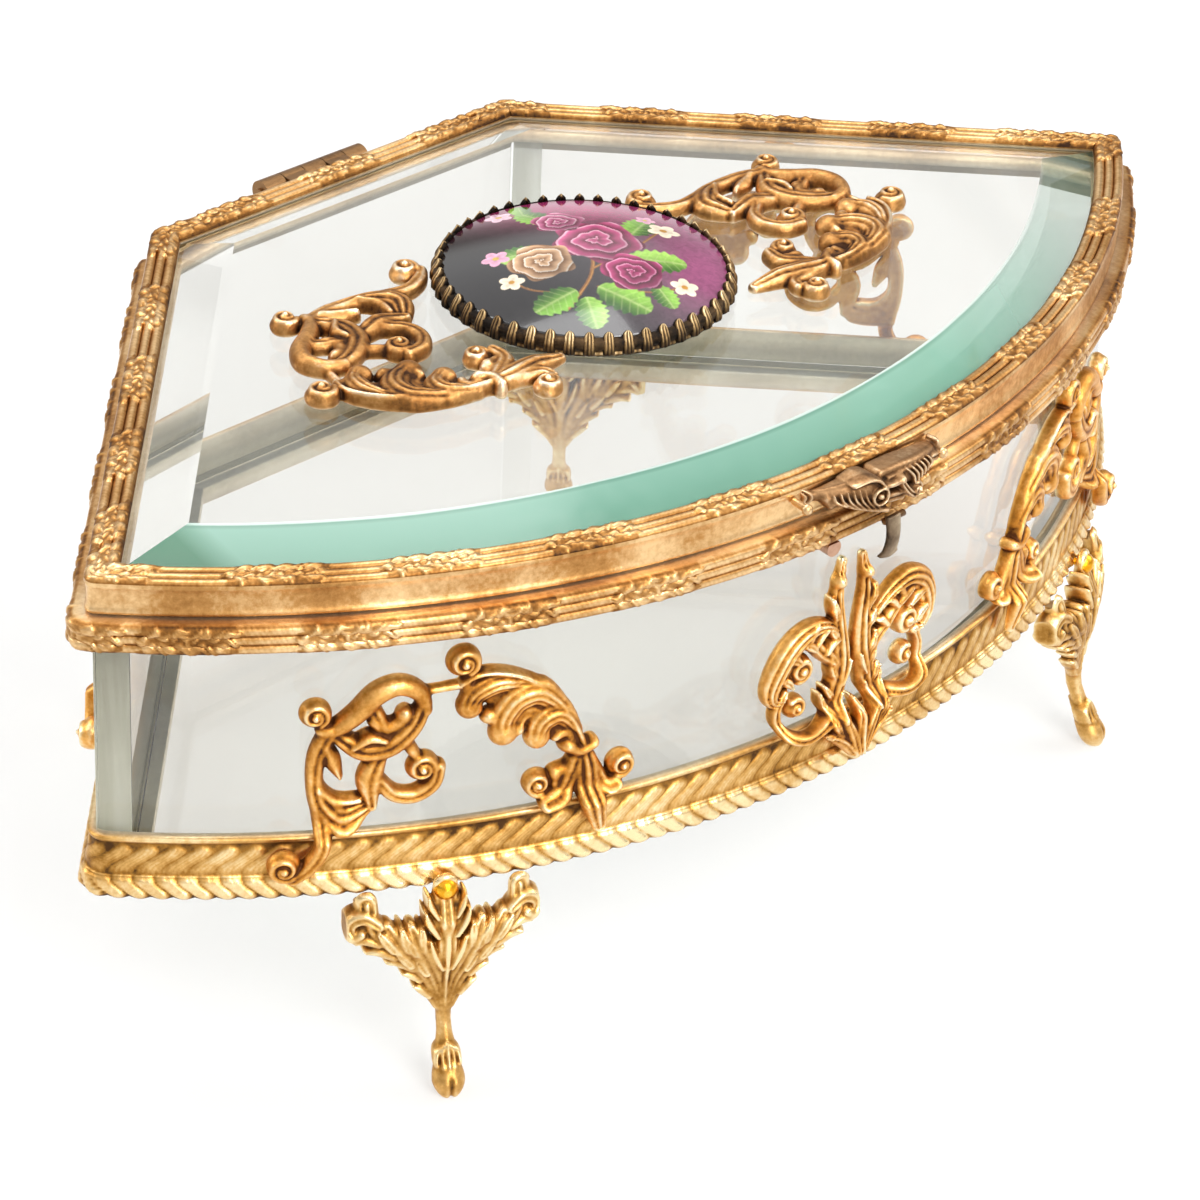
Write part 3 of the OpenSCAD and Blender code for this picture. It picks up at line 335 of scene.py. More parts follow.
class Casting:
    """A casting built up from bands, balls and volutes on a flat back at depth 0, as a field on a grid."""

    def __init__(self, x0, x1, y0, y1, z0, z1, step):
        self.step = step
        self.origin = np.array([x0, y0, z0], float)
        self.x = np.arange(x0, x1, step)
        self.y = np.arange(y0, y1, step)
        self.z = np.arange(z0, z1, step)
        self.f = np.full((len(self.x), len(self.y), len(self.z)), OUTSIDE, np.float32)

    def window(self, lo, hi):
        """The cells over a rectangle, with their x and y and their depth."""
        w = slice(*np.searchsorted(self.x, [lo[0], hi[0]])), slice(*np.searchsorted(self.y, [lo[1], hi[1]]))
        return w, *np.meshgrid(self.x[w[0]], self.y[w[1]], indexing="ij"), self.z[None, None, :]

    def join(self, w, g, k):
        f, g = self.f[w], g.astype(np.float32)
        h = np.clip(0.5 + 0.5 * (f - g) / k, 0, 1)
        self.f[w] = f * (1 - h) + g * h - k * h * (1 - h)

    def band(self, points, high, grooves=0, deep=0.3, k=0.45, mid=None, ridge=0.0, smooth=5):
        """Rounded band through points of (x, y, width), high over the back, with grooves so deep along it;
        k says how softly it joins what is there, mid where its middle lies."""
        p = spline(points, smooth)
        half = p[:, 2] / 2
        pad = p[:, 2].max() / 2 + 1.2
        w, gx, gy, z = self.window(p[:, :2].min(0) - pad, p[:, :2].max(0) + pad)
        best = np.full(gx.shape, 1e9)
        side = np.zeros(gx.shape)
        wide = np.ones(gx.shape)
        along = np.zeros(gx.shape)
        run = 0.0
        for i in range(len(p) - 1):
            a, b = p[i, :2], p[i + 1, :2]
            d = b - a
            size = np.linalg.norm(d) + 1e-9
            t = np.clip(((gx - a[0]) * d[0] + (gy - a[1]) * d[1]) / size ** 2, 0, 1)
            ex, ey = gx - a[0] - t * d[0], gy - a[1] - t * d[1]
            dist = np.hypot(ex, ey)
            near = dist < best
            best = np.where(near, dist, best)
            side = np.where(near, np.sign(d[0] * ey - d[1] * ex) * dist, side)
            wide = np.where(near, half[i] + t * (half[i + 1] - half[i]), wide)
            along = np.where(near, run + t * size, along)
            run += size
        t = side / wide
        high = np.atleast_1d(np.asarray(high, float))
        tall = np.interp(along, np.linspace(0, run, len(high)), high)[..., None]
        zc = tall * 0.35 if mid is None else np.full(tall.shape, float(mid))
        r = np.sqrt((best / wide)[..., None] ** 2 + ((z - zc) / (tall - zc)) ** 2)
        g = (r - 1) * np.minimum(wide[..., None], tall - zc)
        if grooves:
            phase = (np.clip(t, -1, 1) + 1) / 2 * (grooves + 1)
            floor = np.where((phase > 0.5) & (phase < grooves + 0.5),
                             (1 - np.abs(2 * (phase - np.round(phase)))) ** 1.6, 0.0)
            g = g + deep * floor[..., None] * (z > zc * 0.5)
        if ridge:
            g = g - ridge * np.exp(-(t / 0.3) ** 2)[..., None] * (z > zc)
        self.join(w, g, k)

    def ball(self, x, y, r, high, k=0.6):
        """Rounded boss."""
        w, gx, gy, z = self.window((x - r - 1, y - r - 1), (x + r + 1, y + r + 1))
        zc = high * 0.35
        hh = high - zc
        rr = np.sqrt((np.hypot(gx - x, gy - y) / r)[..., None] ** 2 + ((z - zc) / hh) ** 2)
        self.join(w, (rr - 1) * min(r, hh), k)

    def volute(self, x, y, r, high, start, turn=1, wraps=1.45):
        """Band rolled up in a spiral round a small knob; start is the direction its stem comes from."""
        self.ball(x, y, r * 0.9, high * 0.88, k=0.15)
        wide = r * 0.6
        count = int(wraps * 12)
        points = []
        for i in range(count + 1):
            t = i / count
            a = math.radians(start) + turn * t * wraps * 2 * math.pi
            q = (r - wide / 2) * (1 - 0.62 * t)
            points.append((x + q * math.cos(a), y + q * math.sin(a), wide * (1 - 0.45 * t)))
        self.band(points, [high * 0.88, high * 0.95, high], k=0.12, smooth=2)
        self.ball(x, y, r * 0.3, high * 1.16, k=0.2)

    def mesh(self):
        """Points, quads and tone, which is low where much of the neighbourhood is metal: painted shade,
        partly patina, in the hollows and a painted highlight on the edges.
        """
        f = self.f.copy()
        f[0], f[-1], f[:, 0], f[:, -1], f[:, :, 0], f[:, :, -1] = (OUTSIDE,) * 6
        near = box_mean((f < 0).astype(np.float32), max(1, int(round(0.75 / self.step))))
        verts, faces = skin(f, self.origin, self.step)
        cell = np.clip(((verts - self.origin) / self.step), 0, np.array(f.shape) - 1.001)
        i = cell.astype(int)
        t = cell - i
        full = 0
        for corner in CORNERS:
            full = full + np.prod(np.where(corner, t, 1 - t), axis=1) * near[tuple((i + corner).T)]
        return verts, faces, np.clip(0.5 + (0.46 - full) * 2.6, 0, 1)


# ---------------------------------------------------------------- materials
def linear(colour):
    """Linear values of a colour written as #rrggbb, with alpha 1."""
    v = [int(colour[i:i + 2], 16) / 255 for i in (1, 3, 5)]
    return *(c / 12.92 if c <= 0.04045 else ((c + 0.055) / 1.055) ** 2.4 for c in v), 1


class Nodes:
    """Shader nodes of a new material or world; each method adds a node and gives back one of its outputs."""

    def __init__(self, name, group=bpy.data.materials):
        self.owner = group.new(name)
        self.owner.use_nodes = True
        self.tree = self.owner.node_tree
        self.tree.nodes.clear()

    def add(self, kind, sockets=(), out=0, **settings):
        n = self.tree.nodes.new("ShaderNode" + kind)
        for key, value in settings.items():
            setattr(n, key, value)
        for key, value in dict(sockets).items():
            if isinstance(value, bpy.types.NodeSocket):
                self.tree.links.new(value, n.inputs[key])
            else:
                n.inputs[key].default_value = linear(value) if isinstance(value, str) else value
        return n.outputs[out] if n.outputs else n

    def place(self):
        return self.add("TexCoord", out="Object")

    def noise(self, place, scale, detail, rough=0.5, twist=0.0):
        return self.add("TexNoise", {"Vector": place, "Scale": scale, "Detail": detail, "Roughness": rough,
                                     "Distortion": twist}, "Fac")

    def span(self, value, start, stop, low, high):
        return self.add("MapRange", {"Value": value, "From Min": start, "From Max": stop,
                                     "To Min": low, "To Max": high})

    def math(self, kind, a, b, clamp=False):
        return self.add("Math", {0: a, 1: b}, operation=kind, use_clamp=clamp)

    def blend(self, part, a, b, kind="MIX"):
        return self.add("Mix", {0: part, 6: a, 7: b}, 2, data_type="RGBA", blend_type=kind)

    def mix(self, part, a, b):
        return self.add("MixShader", {0: part, 1: a, 2: b})

    def glow(self, kind, colour, strength=1.0):
        return self.add(kind, {"Color": colour, "Strength": strength})

    def surface(self, colour, rough, **more):
        """Principled shader; more names sockets, with _ for a space."""
        named = {key.replace("_", " "): value for key, value in more.items()}
        return self.add("BsdfPrincipled", {"Base Color": colour, "Roughness": rough, **named})

    def attribute(self, name, out="Fac"):
        return self.add("Attribute", out=out, attribute_name=name)

    def bump(self, height, strength, distance):
        return self.add("Bump", {"Height": height, "Strength": strength, "Distance": distance}, "Normal")

    def ramp(self, value, *stops):
        colour = self.add("ValToRGB", {"Fac": value}, "Color")
        el = colour.node.color_ramp.elements
        while len(el) > 1:
            el.remove(el[-1])
        for k, (at, shade) in enumerate(stops):
            e = el[0] if k == 0 else el.new(at)
            e.position = at
            e.color = linear(shade)
        return colour

    def light_path(self, kind):
        return self.add("LightPath", out=kind)

    def finish(self, surface, kind="OutputMaterial"):
        self.add(kind, {"Surface": surface})
        return self.owner


def gilt(name, dark, low, mid, high, rough=0.3, grain=0.25, use_tone=True, patina=0.35):
    """Gilt or bronzed metal: brown in its hollows, partly patina and partly painted shade, bright on its
    ridges as a painted highlight, with patches of patina.
    """
    t = Nodes(name)
    where = t.place()
    patches = t.noise(where, 55.0, 5.0, 0.6)
    fine = t.noise(where, 900.0, 4.0, 0.65)
    # tone, or else the mesh's pointiness, is low in hollows and high on ridges; the ramp paints shade into
    # the hollows and a highlight onto the ridges
    if use_tone:
        base = t.attribute("tone")
    else:
        base = t.span(t.add("NewGeometry", out="Pointiness"), 0.44, 0.56, 0, 1)
    total = t.math("ADD", base, t.span(patches, 0.3, 0.7, -patina, patina * 0.6))
    total = t.math("ADD", total, t.span(fine, 0.3, 0.7, -0.12, 0.12), clamp=True)
    colour = t.ramp(total, (0.0, dark), (0.3, low), (0.62, mid), (1.0, high))
    metal = t.span(total, 0, 0.35, 0.75, 1.0)
    if use_tone:
        # faces marked pale look into the box; they are painted a pale tan, painted light that lifts the shade
        # and dark reflections they get there
        pale = t.attribute("pale")
        colour = t.blend(pale, colour, t.ramp(total, (0.0, "#a3937b"), (0.5, "#cfc0a8"), (1.0, "#eadfca")))
        metal = t.math("SUBTRACT", metal, t.math("MULTIPLY", pale, 0.6), clamp=True)
    roughness = t.span(total, 0, 1, min(rough + 0.28, 0.9), rough)
    return t.finish(t.surface(colour, roughness, Metallic=metal, Normal=t.bump(fine, grain, 0.0003)))


def clear_glass(name, tint, deep):
    """Old sheet glass: clear, a little grey, with slow waves and light smears."""
    t = Nodes(name)
    where = t.place()
    slow = t.noise(where, 9.0, 2.0)
    smear = t.noise(where, 60.0, 6.0, twist=1.2)
    glass = t.surface(t.ramp(slow, (0.3, tint), (0.7, deep)), t.span(smear, 0.5, 0.75, 0, 0.025), IOR=1.5,
                      Transmission_Weight=1.0, Normal=t.bump(slow, 0.05, 0.002))
    through = t.add("BsdfTransparent", {"Color": "#eef2f0"})
    return t.finish(t.mix(t.light_path("Is Shadow Ray"), glass, through))


def ground_glass(name):
    """Ground edge of a pane: pale, frosted, with darker rub marks."""
    t = Nodes(name)
    long_way = t.add("Mapping", {"Vector": t.place(), "Scale": (1.0, 1.0, 0.12)})
    rub = t.noise(long_way, 160.0, 6.0, twist=0.5)
    colour = t.ramp(rub, (0.3, "#bdb8a6"), (0.5, "#dad7c9"), (0.72, "#f5f4ec"))
    frost = t.mix(0.45, t.add("BsdfDiffuse", {"Color": colour}), t.add("BsdfTranslucent", {"Color": colour}))
    part = t.span(t.light_path("Is Shadow Ray"), 0, 1, 0.25, 0.85)
    return t.finish(t.mix(part, frost, t.add("BsdfTransparent", {"Color": "#eef2ee"})))


def mint_glass(name):
    """Ground bevel over the bowed front, where the light comes out green, painted in as a painted reflection.
    Tone runs from its outer to its inner edge, darker along the outer edge, with a pale line at the inner
    edge as a painted highlight; the left corner is painted darker, and the green fades out towards the right."""
    t = Nodes(name)
    where = t.place()
    waver = t.span(t.noise(where, 14.0, 3.0, twist=0.6), 0.3, 0.7, -0.02, 0.02)
    at = t.math("ADD", t.attribute("tone"), waver, clamp=True)
    colour = t.ramp(at, (0.0, "#2f6651"), (0.05, "#3f7560"), (0.08, "#699c86"), (0.5, "#72a58f"),
                    (0.9, "#80b09c"), (0.955, "#699a85"), (0.972, "#c9dcd3"), (1.0, "#d8e5de"))
    x = t.add("SeparateXYZ", {0: where}, "X")
    # the left corner of the bevel painted darker, part of the painted reflection
    colour = t.blend(t.span(x, -0.1035, -0.0985, 1, 0), colour, "#34aa80", "MULTIPLY")
    roughness = t.span(t.noise(where, 260.0, 5.0), 0.35, 0.7, 0.08, 0.2)
    body = t.surface(colour, roughness, IOR=1.5, Transmission_Weight=0.2)
    clear = t.surface("#eef6f2", 0.02, IOR=1.5, Transmission_Weight=1.0)
    body = t.mix(t.span(x, 0.032, 0.09, 0, 0.8), body, clear)
    through = t.add("BsdfTransparent", {"Color": "#cfe9dd"})
    return t.finish(t.mix(t.light_path("Is Shadow Ray"), body, through))


def porcelain(name):
    """Glazed plaque, coloured by its paint attribute."""
    t = Nodes(name)
    brush = t.noise(t.place(), 700.0, 6.0, 0.6, 0.8)
    shade = t.span(brush, 0.3, 0.7, 0.8, 1.2)
    painted = t.attribute("paint", "Color")
    colour = t.add("VectorMath", {0: painted, "Scale": shade}, operation="SCALE")
    return t.finish(t.surface(colour, t.span(brush, 0, 1, 0.08, 0.2), Coat_Weight=0.6, Coat_Roughness=0.04,
                              Normal=t.bump(brush, 0.05, 0.0002)))


def white_floor(name):
    """Floor that takes the shadows near the object and shows plain white far from it."""
    t = Nodes(name)
    where = t.place()
    mottle = t.noise(where, 3.0, 3.0)
    lit = t.add("BsdfDiffuse", {"Color": t.ramp(mottle, (0.3, "#f6f6f5"), (0.7, "#f9f9f8"))})
    seen = t.math("MAXIMUM", t.light_path("Is Camera Ray"), t.light_path("Is Glossy Ray"))
    seen = t.math("MAXIMUM", seen, t.light_path("Is Transmission Ray"))
    far = t.add("VectorMath", {0: where}, "Value", operation="LENGTH")
    part = t.math("MULTIPLY", seen, t.span(far, 0.2, 0.9, 0.57, 1.0))
    return t.finish(t.mix(part, lit, t.glow("Emission", "#ffffff")))


def studio(name):
    """World: white to the eye and through the glass, a banded sky in the gilding, dimmer as a light."""
    t = Nodes(name, bpy.data.worlds)
    way = t.add("TexCoord", out="Generated")
    soft = t.noise(way, 1.6, 1.0)
    level = t.math("ADD", t.add("SeparateXYZ", {0: way}, "Z"), t.math("MULTIPLY", soft, 0.8))
    sky = t.ramp(level, (0.0, "#ffffff"), (0.42, "#f6f5f3"), (0.58, "#a8a5a1"), (0.72, "#8b8884"),
                 (0.86, "#f0f0ee"), (1.0, "#ffffff"))
    glossy = t.light_path("Is Glossy Ray")
    inside = t.math("GREATER_THAN", t.light_path("Transmission Depth"), 0.5)
    inside = t.math("MULTIPLY", inside, glossy)
    seen = t.math("MAXIMUM", t.light_path("Is Camera Ray"), t.light_path("Is Transmission Ray"))
    seen = t.math("MAXIMUM", seen, inside)
    lit = t.mix(glossy, t.glow("Background", "#ffffff", 0.55), t.glow("Background", sky))
    return t.finish(t.mix(seen, lit, t.glow("Background", "#ffffff")), "OutputWorld")


BRIGHT = gilt("bright_gilt", "#4c2f0e", "#a97835", "#dbac66", "#ffe8b4", rough=0.27)
COPPERY = gilt("coppery_gilt", "#361e09", "#8c5d2c", "#c08f54", "#f5d09a", rough=0.3, patina=0.34)
ORANGE = gilt("orange_gilt", "#552c08", "#bf7e30", "#efb566", "#fff0c4", rough=0.27, grain=0.5)
BRONZE = gilt("dark_bronze", "#150d07", "#5a4630", "#a08258", "#e6cda0", rough=0.34)
CLASP = gilt("clasp_bronze", "#24160b", "#6e4d30", "#ab845c", "#f3d8b2", rough=0.32, patina=0.2)
TONGUE = gilt("tongue_bronze", "#3c3024", "#776450", "#a08c72", "#cdbb9f", rough=0.36, patina=0.15)
LID_GILT = gilt("lid_gilt", "#3e230e", "#966534", "#d09b5e", "#fbe4c2", rough=0.29, grain=0.6)
HINGE = gilt("hinge_bronze", "#20150d", "#3d2c1d", "#66492f", "#8f6c48", rough=0.4, use_tone=False)
RIVETS = gilt("rivet_gilt", "#7a4304", "#c57c0d", "#eaa21c", "#ffc74a", rough=0.2, use_tone=False, patina=0.2)
PINS = gilt("pin_bronze", "#3a2410", "#8f6a45", "#c9a272", "#f2d4a6", rough=0.3, use_tone=False, patina=0.2)
NIB = gilt("nib_copper", "#4c2c1a", "#8a5a40", "#ab7c60", "#c9a086", rough=0.3, use_tone=False, patina=0.15)
STRIP = gilt("strip_gilt", "#7a5f3c", "#ad8d60", "#cbb084", "#e6d2ac", rough=0.4, use_tone=False)
GLASS = clear_glass("clear_glass", "#f5f4f1", "#edebe8")
LID_GLASS = clear_glass("lid_glass_clear", "#fdfefd", "#f8f9f7")
GROUND = ground_glass("ground_glass_edge")
MINT = mint_glass("mint_bevel")
PAINT = porcelain("painted_porcelain")


# ---------------------------------------------------------------- rims
def half_round(t):
    return np.sqrt(np.clip(1 - t * t, 0, 1))


def bump_line(v, at, wide):
    return np.exp(-((v - at) / wide) ** 2)


def base_relief(path, prof):
    """Garland of leaves: upper lobes lean forward, lower lobes back, with a cord between them."""
    zz = (prof[:, 1] - FOOT_H)[None, :]
    outer = (prof[:, 0] > 0.6)[None, :]
    s = path.way[:, None]

    def lobes(t, pitch, lean, sway):
        """Place across a lobe, from -1 to 1, and its rounding."""
        pitch = path.length / round(path.length / pitch)
        ph = (s - lean * t - sway * np.sin(2 * math.pi * np.clip(t, 0, 1))) / pitch
        q = 2 * (ph - np.floor(ph)) - 1
        return q, half_round(np.clip(q, -1, 1) * 0.985)

    t = (zz - 5.0) / 5.3
    q, lobe = lobes(t, 4.3, 4.4, -0.7)
    env = np.clip((1.03 - 0.26 * (q - 0.1) ** 2 - t) * 6, 0, 1) * np.clip(0.5 + 2.2 * t, 0, 1)
    vein = sum(0.075 * bump_line(q, c, 0.09) for c in (-0.6, -0.2, 0.2, 0.6))
    upper = (0.36 * lobe ** 0.8 - vein) * env
    u = (zz - 0.2) / 5.0
    q, lobe = lobes(u, 3.5, -3.0, 0.5)
    low = 0.04 + 0.24 * q ** 2
    env = np.clip((u - low) * 5, 0, 1) * np.clip(2.6 - 2.2 * u, 0, 1)
    curl = 0.16 * bump_line(u, 0.24, 0.14)
    lower = ((0.56 + curl) * lobe - 0.09 * bump_line(q, 0.12, 0.12) - 0.06 * bump_line(q, -0.45, 0.1)) * env
    stem = 0.12 * bump_line(zz, 5.1, 0.3)
    lip = 0.2 * bump_line(zz, 11.4, 0.45)
    h = np.where(t > -0.02, upper, 0) + np.where(u < 0.98, lower, 0)
    h = np.maximum(h, stem) + lip - 0.28
    gap = np.where(zz < 1.2, -0.5 * (1 - np.clip((u - low + 0.25) * 4, 0, 1)), 0)
    h = (h + gap) * outer
    # tone follows the relief: hollows painted dark, partly patina and partly painted shade, and raised lobes
    # painted light as a painted highlight
    tone = np.where(outer, 0.2 + 1.75 * (h + 0.28) + 0.04 * np.sin(s * 0.9) * np.sin(zz * 1.3), 0.6)
    return h, np.where((zz > 10.5) & outer, 0.72 + 0.15 * np.sin(s * 0.21), tone)


def leaf_tie(s, v):
    """Spray of little leaves laid across the reeds; s is along the run, v from -1 to 1 across it."""
    best = np.full(np.broadcast(s, v).shape, -1.0)
    w = v * 2.6 + 0.34 * np.sin(1.7 * s + 0.6)
    s = s + 0.5 * np.sin(1.9 * w + 0.9 * s)
    rows = [(k * 2.0 + 0.5 * hand, hand * 1.15, hand * (38 if k % 2 else 22), 2.0, 0.58)
            for k in range(-3, 4) for hand in (-1, 1)]
    rows += [(-6.9, 0.1, 4, 1.5, 0.5), (6.9, -0.2, -8, 1.5, 0.5), (0, 0, 62, 2.9, 0.42),
             (0.2, 0, -62, 2.9, 0.42)]
    for cs, cw, angle, a, b in rows:
        c, d = math.cos(math.radians(angle)), math.sin(math.radians(angle))
        x, y = s - cs, w - cw
        over = -x * d + y * c
        e = ((x * c + y * d) / a) ** 2 + (over / b) ** 2
        leaf = 0.43 * np.sqrt(np.clip(1 - e, 0, 1)) - 0.12 * bump_line(over, 0, 0.13) * (e < 1)
        best = np.maximum(best, np.where(e < 1.0, leaf, -1))
    bed = np.clip((1 - (np.abs(s) / 7.8) ** 2.5) * 3, 0, 1) * 0.12
    # the tone given back follows the leaf's height: painted highlight on the leaves' crowns, painted shade
    # along their midribs
    return np.where(best > 0, best + 0.1, bed), best * 1.6


# where the ties lie on each stretch of the path, and how far one reaches to either side
TIE_REACH = 9.2
LID_TIES = {0: [-106, -81, -54, -27, -1, 24.5, 50, 76, 102], 2: [-44, -20, 5, 30], 4: [-26, 0, 26],
            6: [-30, -5, 20, 44]}
BODY_TIES = {0: [-119, -94.5, -69, -44, -17, 9, 35, 61, 87, 112], 2: [-38, -13, 12, 37], 4: [-27, 27],
             6: [-37, -12, 13, 38]}


def moulding_relief(ties, across, face):
    """Reeds come from the profile; sprays of leaves cross them at the ties and round the corners."""
    def relief(path, prof):
        v = across(prof)
        on = face(prof)[None, :]
        h = np.zeros((len(path.plan), len(prof)))
        # the reeds are painted light on their crowns and dark in the grooves: painted highlight and painted
        # shade
        groove = np.abs(np.sin(1.5 * math.pi * (v + 1)))
        tone = np.repeat((0.25 + 0.62 * groove ** 0.6)[None, :], len(h), 0)
        tone += 0.05 * np.sin(path.way[:, None] * 7.1 + v[None, :] * 9)
        gaps = [np.where(path.run == run, path.s - at, 99) for run in ties for at in ties[run]]
        for run in (1, 3, 5, 7):
            centre = path.way[path.run == run].mean()
            gaps.append((path.way - centre + path.length / 2) % path.length - path.length / 2)
        for gap in gaps:
            rows = np.where(np.abs(gap) < TIE_REACH)[0]
            d, leaf = leaf_tie(gap[rows][:, None], v[None, :])
            h[rows] = np.where(on, d, 0)
            # round the leaves the reeds are painted darker, a painted shade, and the leaves lighter as they
            # rise, a painted highlight
            bed = np.where(d > 0.05, tone[rows] * 0.55, tone[rows])
            tone[rows] = np.where(on & (leaf > 0), 0.42 + 0.75 * leaf, bed)
        # the plain band is painted brighter near the middle of the front: a painted highlight
        middle = 0.2 * np.exp(-(path.s[:, None] / 50) ** 2) * (path.run == 0)[:, None]
        return h, np.where(on, tone, 0.72 + middle + 0.06 * np.sin(path.way[:, None] * 0.3))
    return relief


def reeds(p, q, rise=0.34, count=3, steps=8):
    """Half-round reeds side by side from p to q."""
    p, q = np.array(p, float), np.array(q, float)
    w = np.linalg.norm(q - p) / count
    u = (q - p) / np.linalg.norm(q - p)
    v = np.array([-u[1], u[0]])
    out = []
    for i in range(count):
        for k in range(steps + (i == count - 1)):
            a = math.pi * k / steps
            out.append(p + u * (i * w + w / 2 * (1 - math.cos(a))) + v * w * rise * math.sin(a))
    return out


def sides(name):
    return [name + "_" + side for side in ("front", "left", "right", "back")]


BASE_CORNER = 3.0 - 5.0  # offset of each rim's face less the radius of its corners
BODY_CORNER = 3.8 - 4.0
LID_CORNER = 1.2 - 2.0
BASE_STEP = 0.3
REED_STEP = 0.32
base_profile = resample(
    [(-8, LEDGE_Z), (-8, FOOT_H + 1), (-7, FOOT_H), (2.2, FOOT_H + 0.05), (2.85, FOOT_H + 0.6),
     (3.0, FOOT_H + 1.8), (2.75, FOOT_H + 4.2), (2.2, FOOT_H + 5.1), (2.1, FOOT_H + 5.7), (1.9, FOOT_H + 7),
     (1.55, FOOT_H + 9), (1.35, FOOT_H + 10.4), (1.75, FOOT_H + 10.8), (1.8, BASE_TOP - 0.3), (1.5, BASE_TOP),
     (0.05, BASE_TOP), (0.05, LEDGE_Z)], lambda p: 0.24 if p[0] > 1.2 else 4)
base_band = sweep("base_rim_band", base_profile, BASE_CORNER, BASE_STEP, base_relief, BRIGHT,
                  lambda p: (p[:, 0] < 1.0) & (p[:, 1] > FOOT_H + 0.8))
belongs(base_band, "box", "bright_gilt", *sides("base_rim"))

body_profile = resample(
    reeds([3.2, BODY_TOP - 0.3], [3.2, BODY_RIM_Z + 0.3])
    + [[2.8, BODY_RIM_Z], [0.05, BODY_RIM_Z], [0.05, PANE_TOP], [-6.5, PANE_TOP], [-6.5, BODY_TOP - 0.5],
       [-6, BODY_TOP], [2.8, BODY_TOP]], lambda p: 0.22 if p[0] > 3 else 4)
body_relief = moulding_relief(BODY_TIES, lambda p: np.clip((p[:, 1] - BODY_RIM_Z - 2.7) / 2.5, -1, 1),
                              lambda p: p[:, 0] > 3.05)
body_rim = sweep("body_rim_moulding", body_profile, BODY_CORNER, REED_STEP, body_relief, COPPERY,
                 lambda p: np.where(p[:, 0] > 0.2, 0, np.where(p[:, 1] > BODY_TOP - 0.6, 0.55, 1)))
belongs(body_rim, "box", "coppery_gilt", *sides("body_rim"))

lid_profile = resample(
    [[-0.2, LID_Z], [-0.2, BAND_TOP], [-4.2, BAND_TOP], [-4.2, BAND_TOP + 0.5]]
    + reeds([-4.0, BAND_TOP + 0.75], [1.05, BAND_TOP + 0.55], rise=0.4)
    + [[1.2, BAND_TOP + 0.2], [0.95, BAND_TOP - 0.35], [0.85, BAND_TOP - 1.4], [0.85, LID_Z + 1.2],
       [1.05, LID_Z + 0.8], [1.2, LID_Z + 0.5], [1.15, LID_Z + 0.1], [1.0, LID_Z]],
    lambda p: 0.24 if p[1] > BAND_TOP + 0.45 else 1.2)
lid_relief = moulding_relief(LID_TIES, lambda p: np.clip((p[:, 0] + 1.5) / 2.6, -1, 1),
                             lambda p: p[:, 1] > BAND_TOP + 0.6)
lid_frame = sweep("lid_frame_moulding", lid_profile, LID_CORNER, REED_STEP, lid_relief, COPPERY,
                  lambda p: (p[:, 0] < 0.2) & (p[:, 1] < BAND_TOP + 0.45) & (p[:, 1] > LID_Z + 0.3))
belongs(lid_frame, "lid", "coppery_gilt", *sides("lid_frame"))


# ---------------------------------------------------------------- castings
STEP = 0.27  # size of the cells
CLASP_STEP = 0.17
CAST_DEPTH = 0.76  # drawn heights times this are millimetres
SCROLL_Z = 79.3  # height of the eye of a wall scroll
SIDE_SCROLL_AT = 52  # along a side wall, from its back corner
CENTRE_Z = SCROLL_Z - 38.7
BACK_FOOT_AT = 13
FOOT_TURN = math.radians(27)  # round the bowed front, to either side
UNDER_BASE = 3.06  # just outside the face of the base rim


def wall_step(z):
    """How far a wall mount stands off: on the glass above, over the leaf band below."""
    return 0.06 + 3.1 * smoother((BASE_TOP + 3.6 - z) / 3.4)


def on_front(v, turn, z0, hand=1):
    z = z0 + v[:, 1]
    return on_arc(math.radians(turn) + v[:, 0] * hand / ARC_R, ARC_R + wall_step(z) + v[:, 2], z)


def on_side(v, s, z0, hand=1):
    z = z0 + v[:, 1]
    return np.c_[on_wall(s, v[:, 0], wall_step(z) + v[:, 2]) * [hand, 1], z]


def on_lid(v, x, y, hand, turn):
    a = math.radians(turn)
    px = v[:, 0] * math.cos(a) - v[:, 1] * math.sin(a)
    py = v[:, 0] * math.sin(a) + v[:, 1] * math.cos(a)
    return np.stack([x + hand * px, y + py, SEAT_Z + v[:, 2]], -1)


def turned(f, hand):
    return f[:, ::-1].copy() if hand < 0 else f


def build_casting(draw, box, step=STEP):
    """Points, quads and tone of a drawn casting with a flat back."""
    c = Casting(*box, step)
    draw(c)
    c.f = np.maximum(c.f, -c.z[None, None, :].astype(np.float32))
    verts, faces, tone = c.mesh()
    verts[:, 2] *= CAST_DEPTH
    return verts, faces, tone


def cast(node, verts, faces, material, tone, body, slot, name=None):
    ob = make(name or node + "_cast", verts, faces, material, tone, normals=False)
    belongs(ob, body, slot, node)


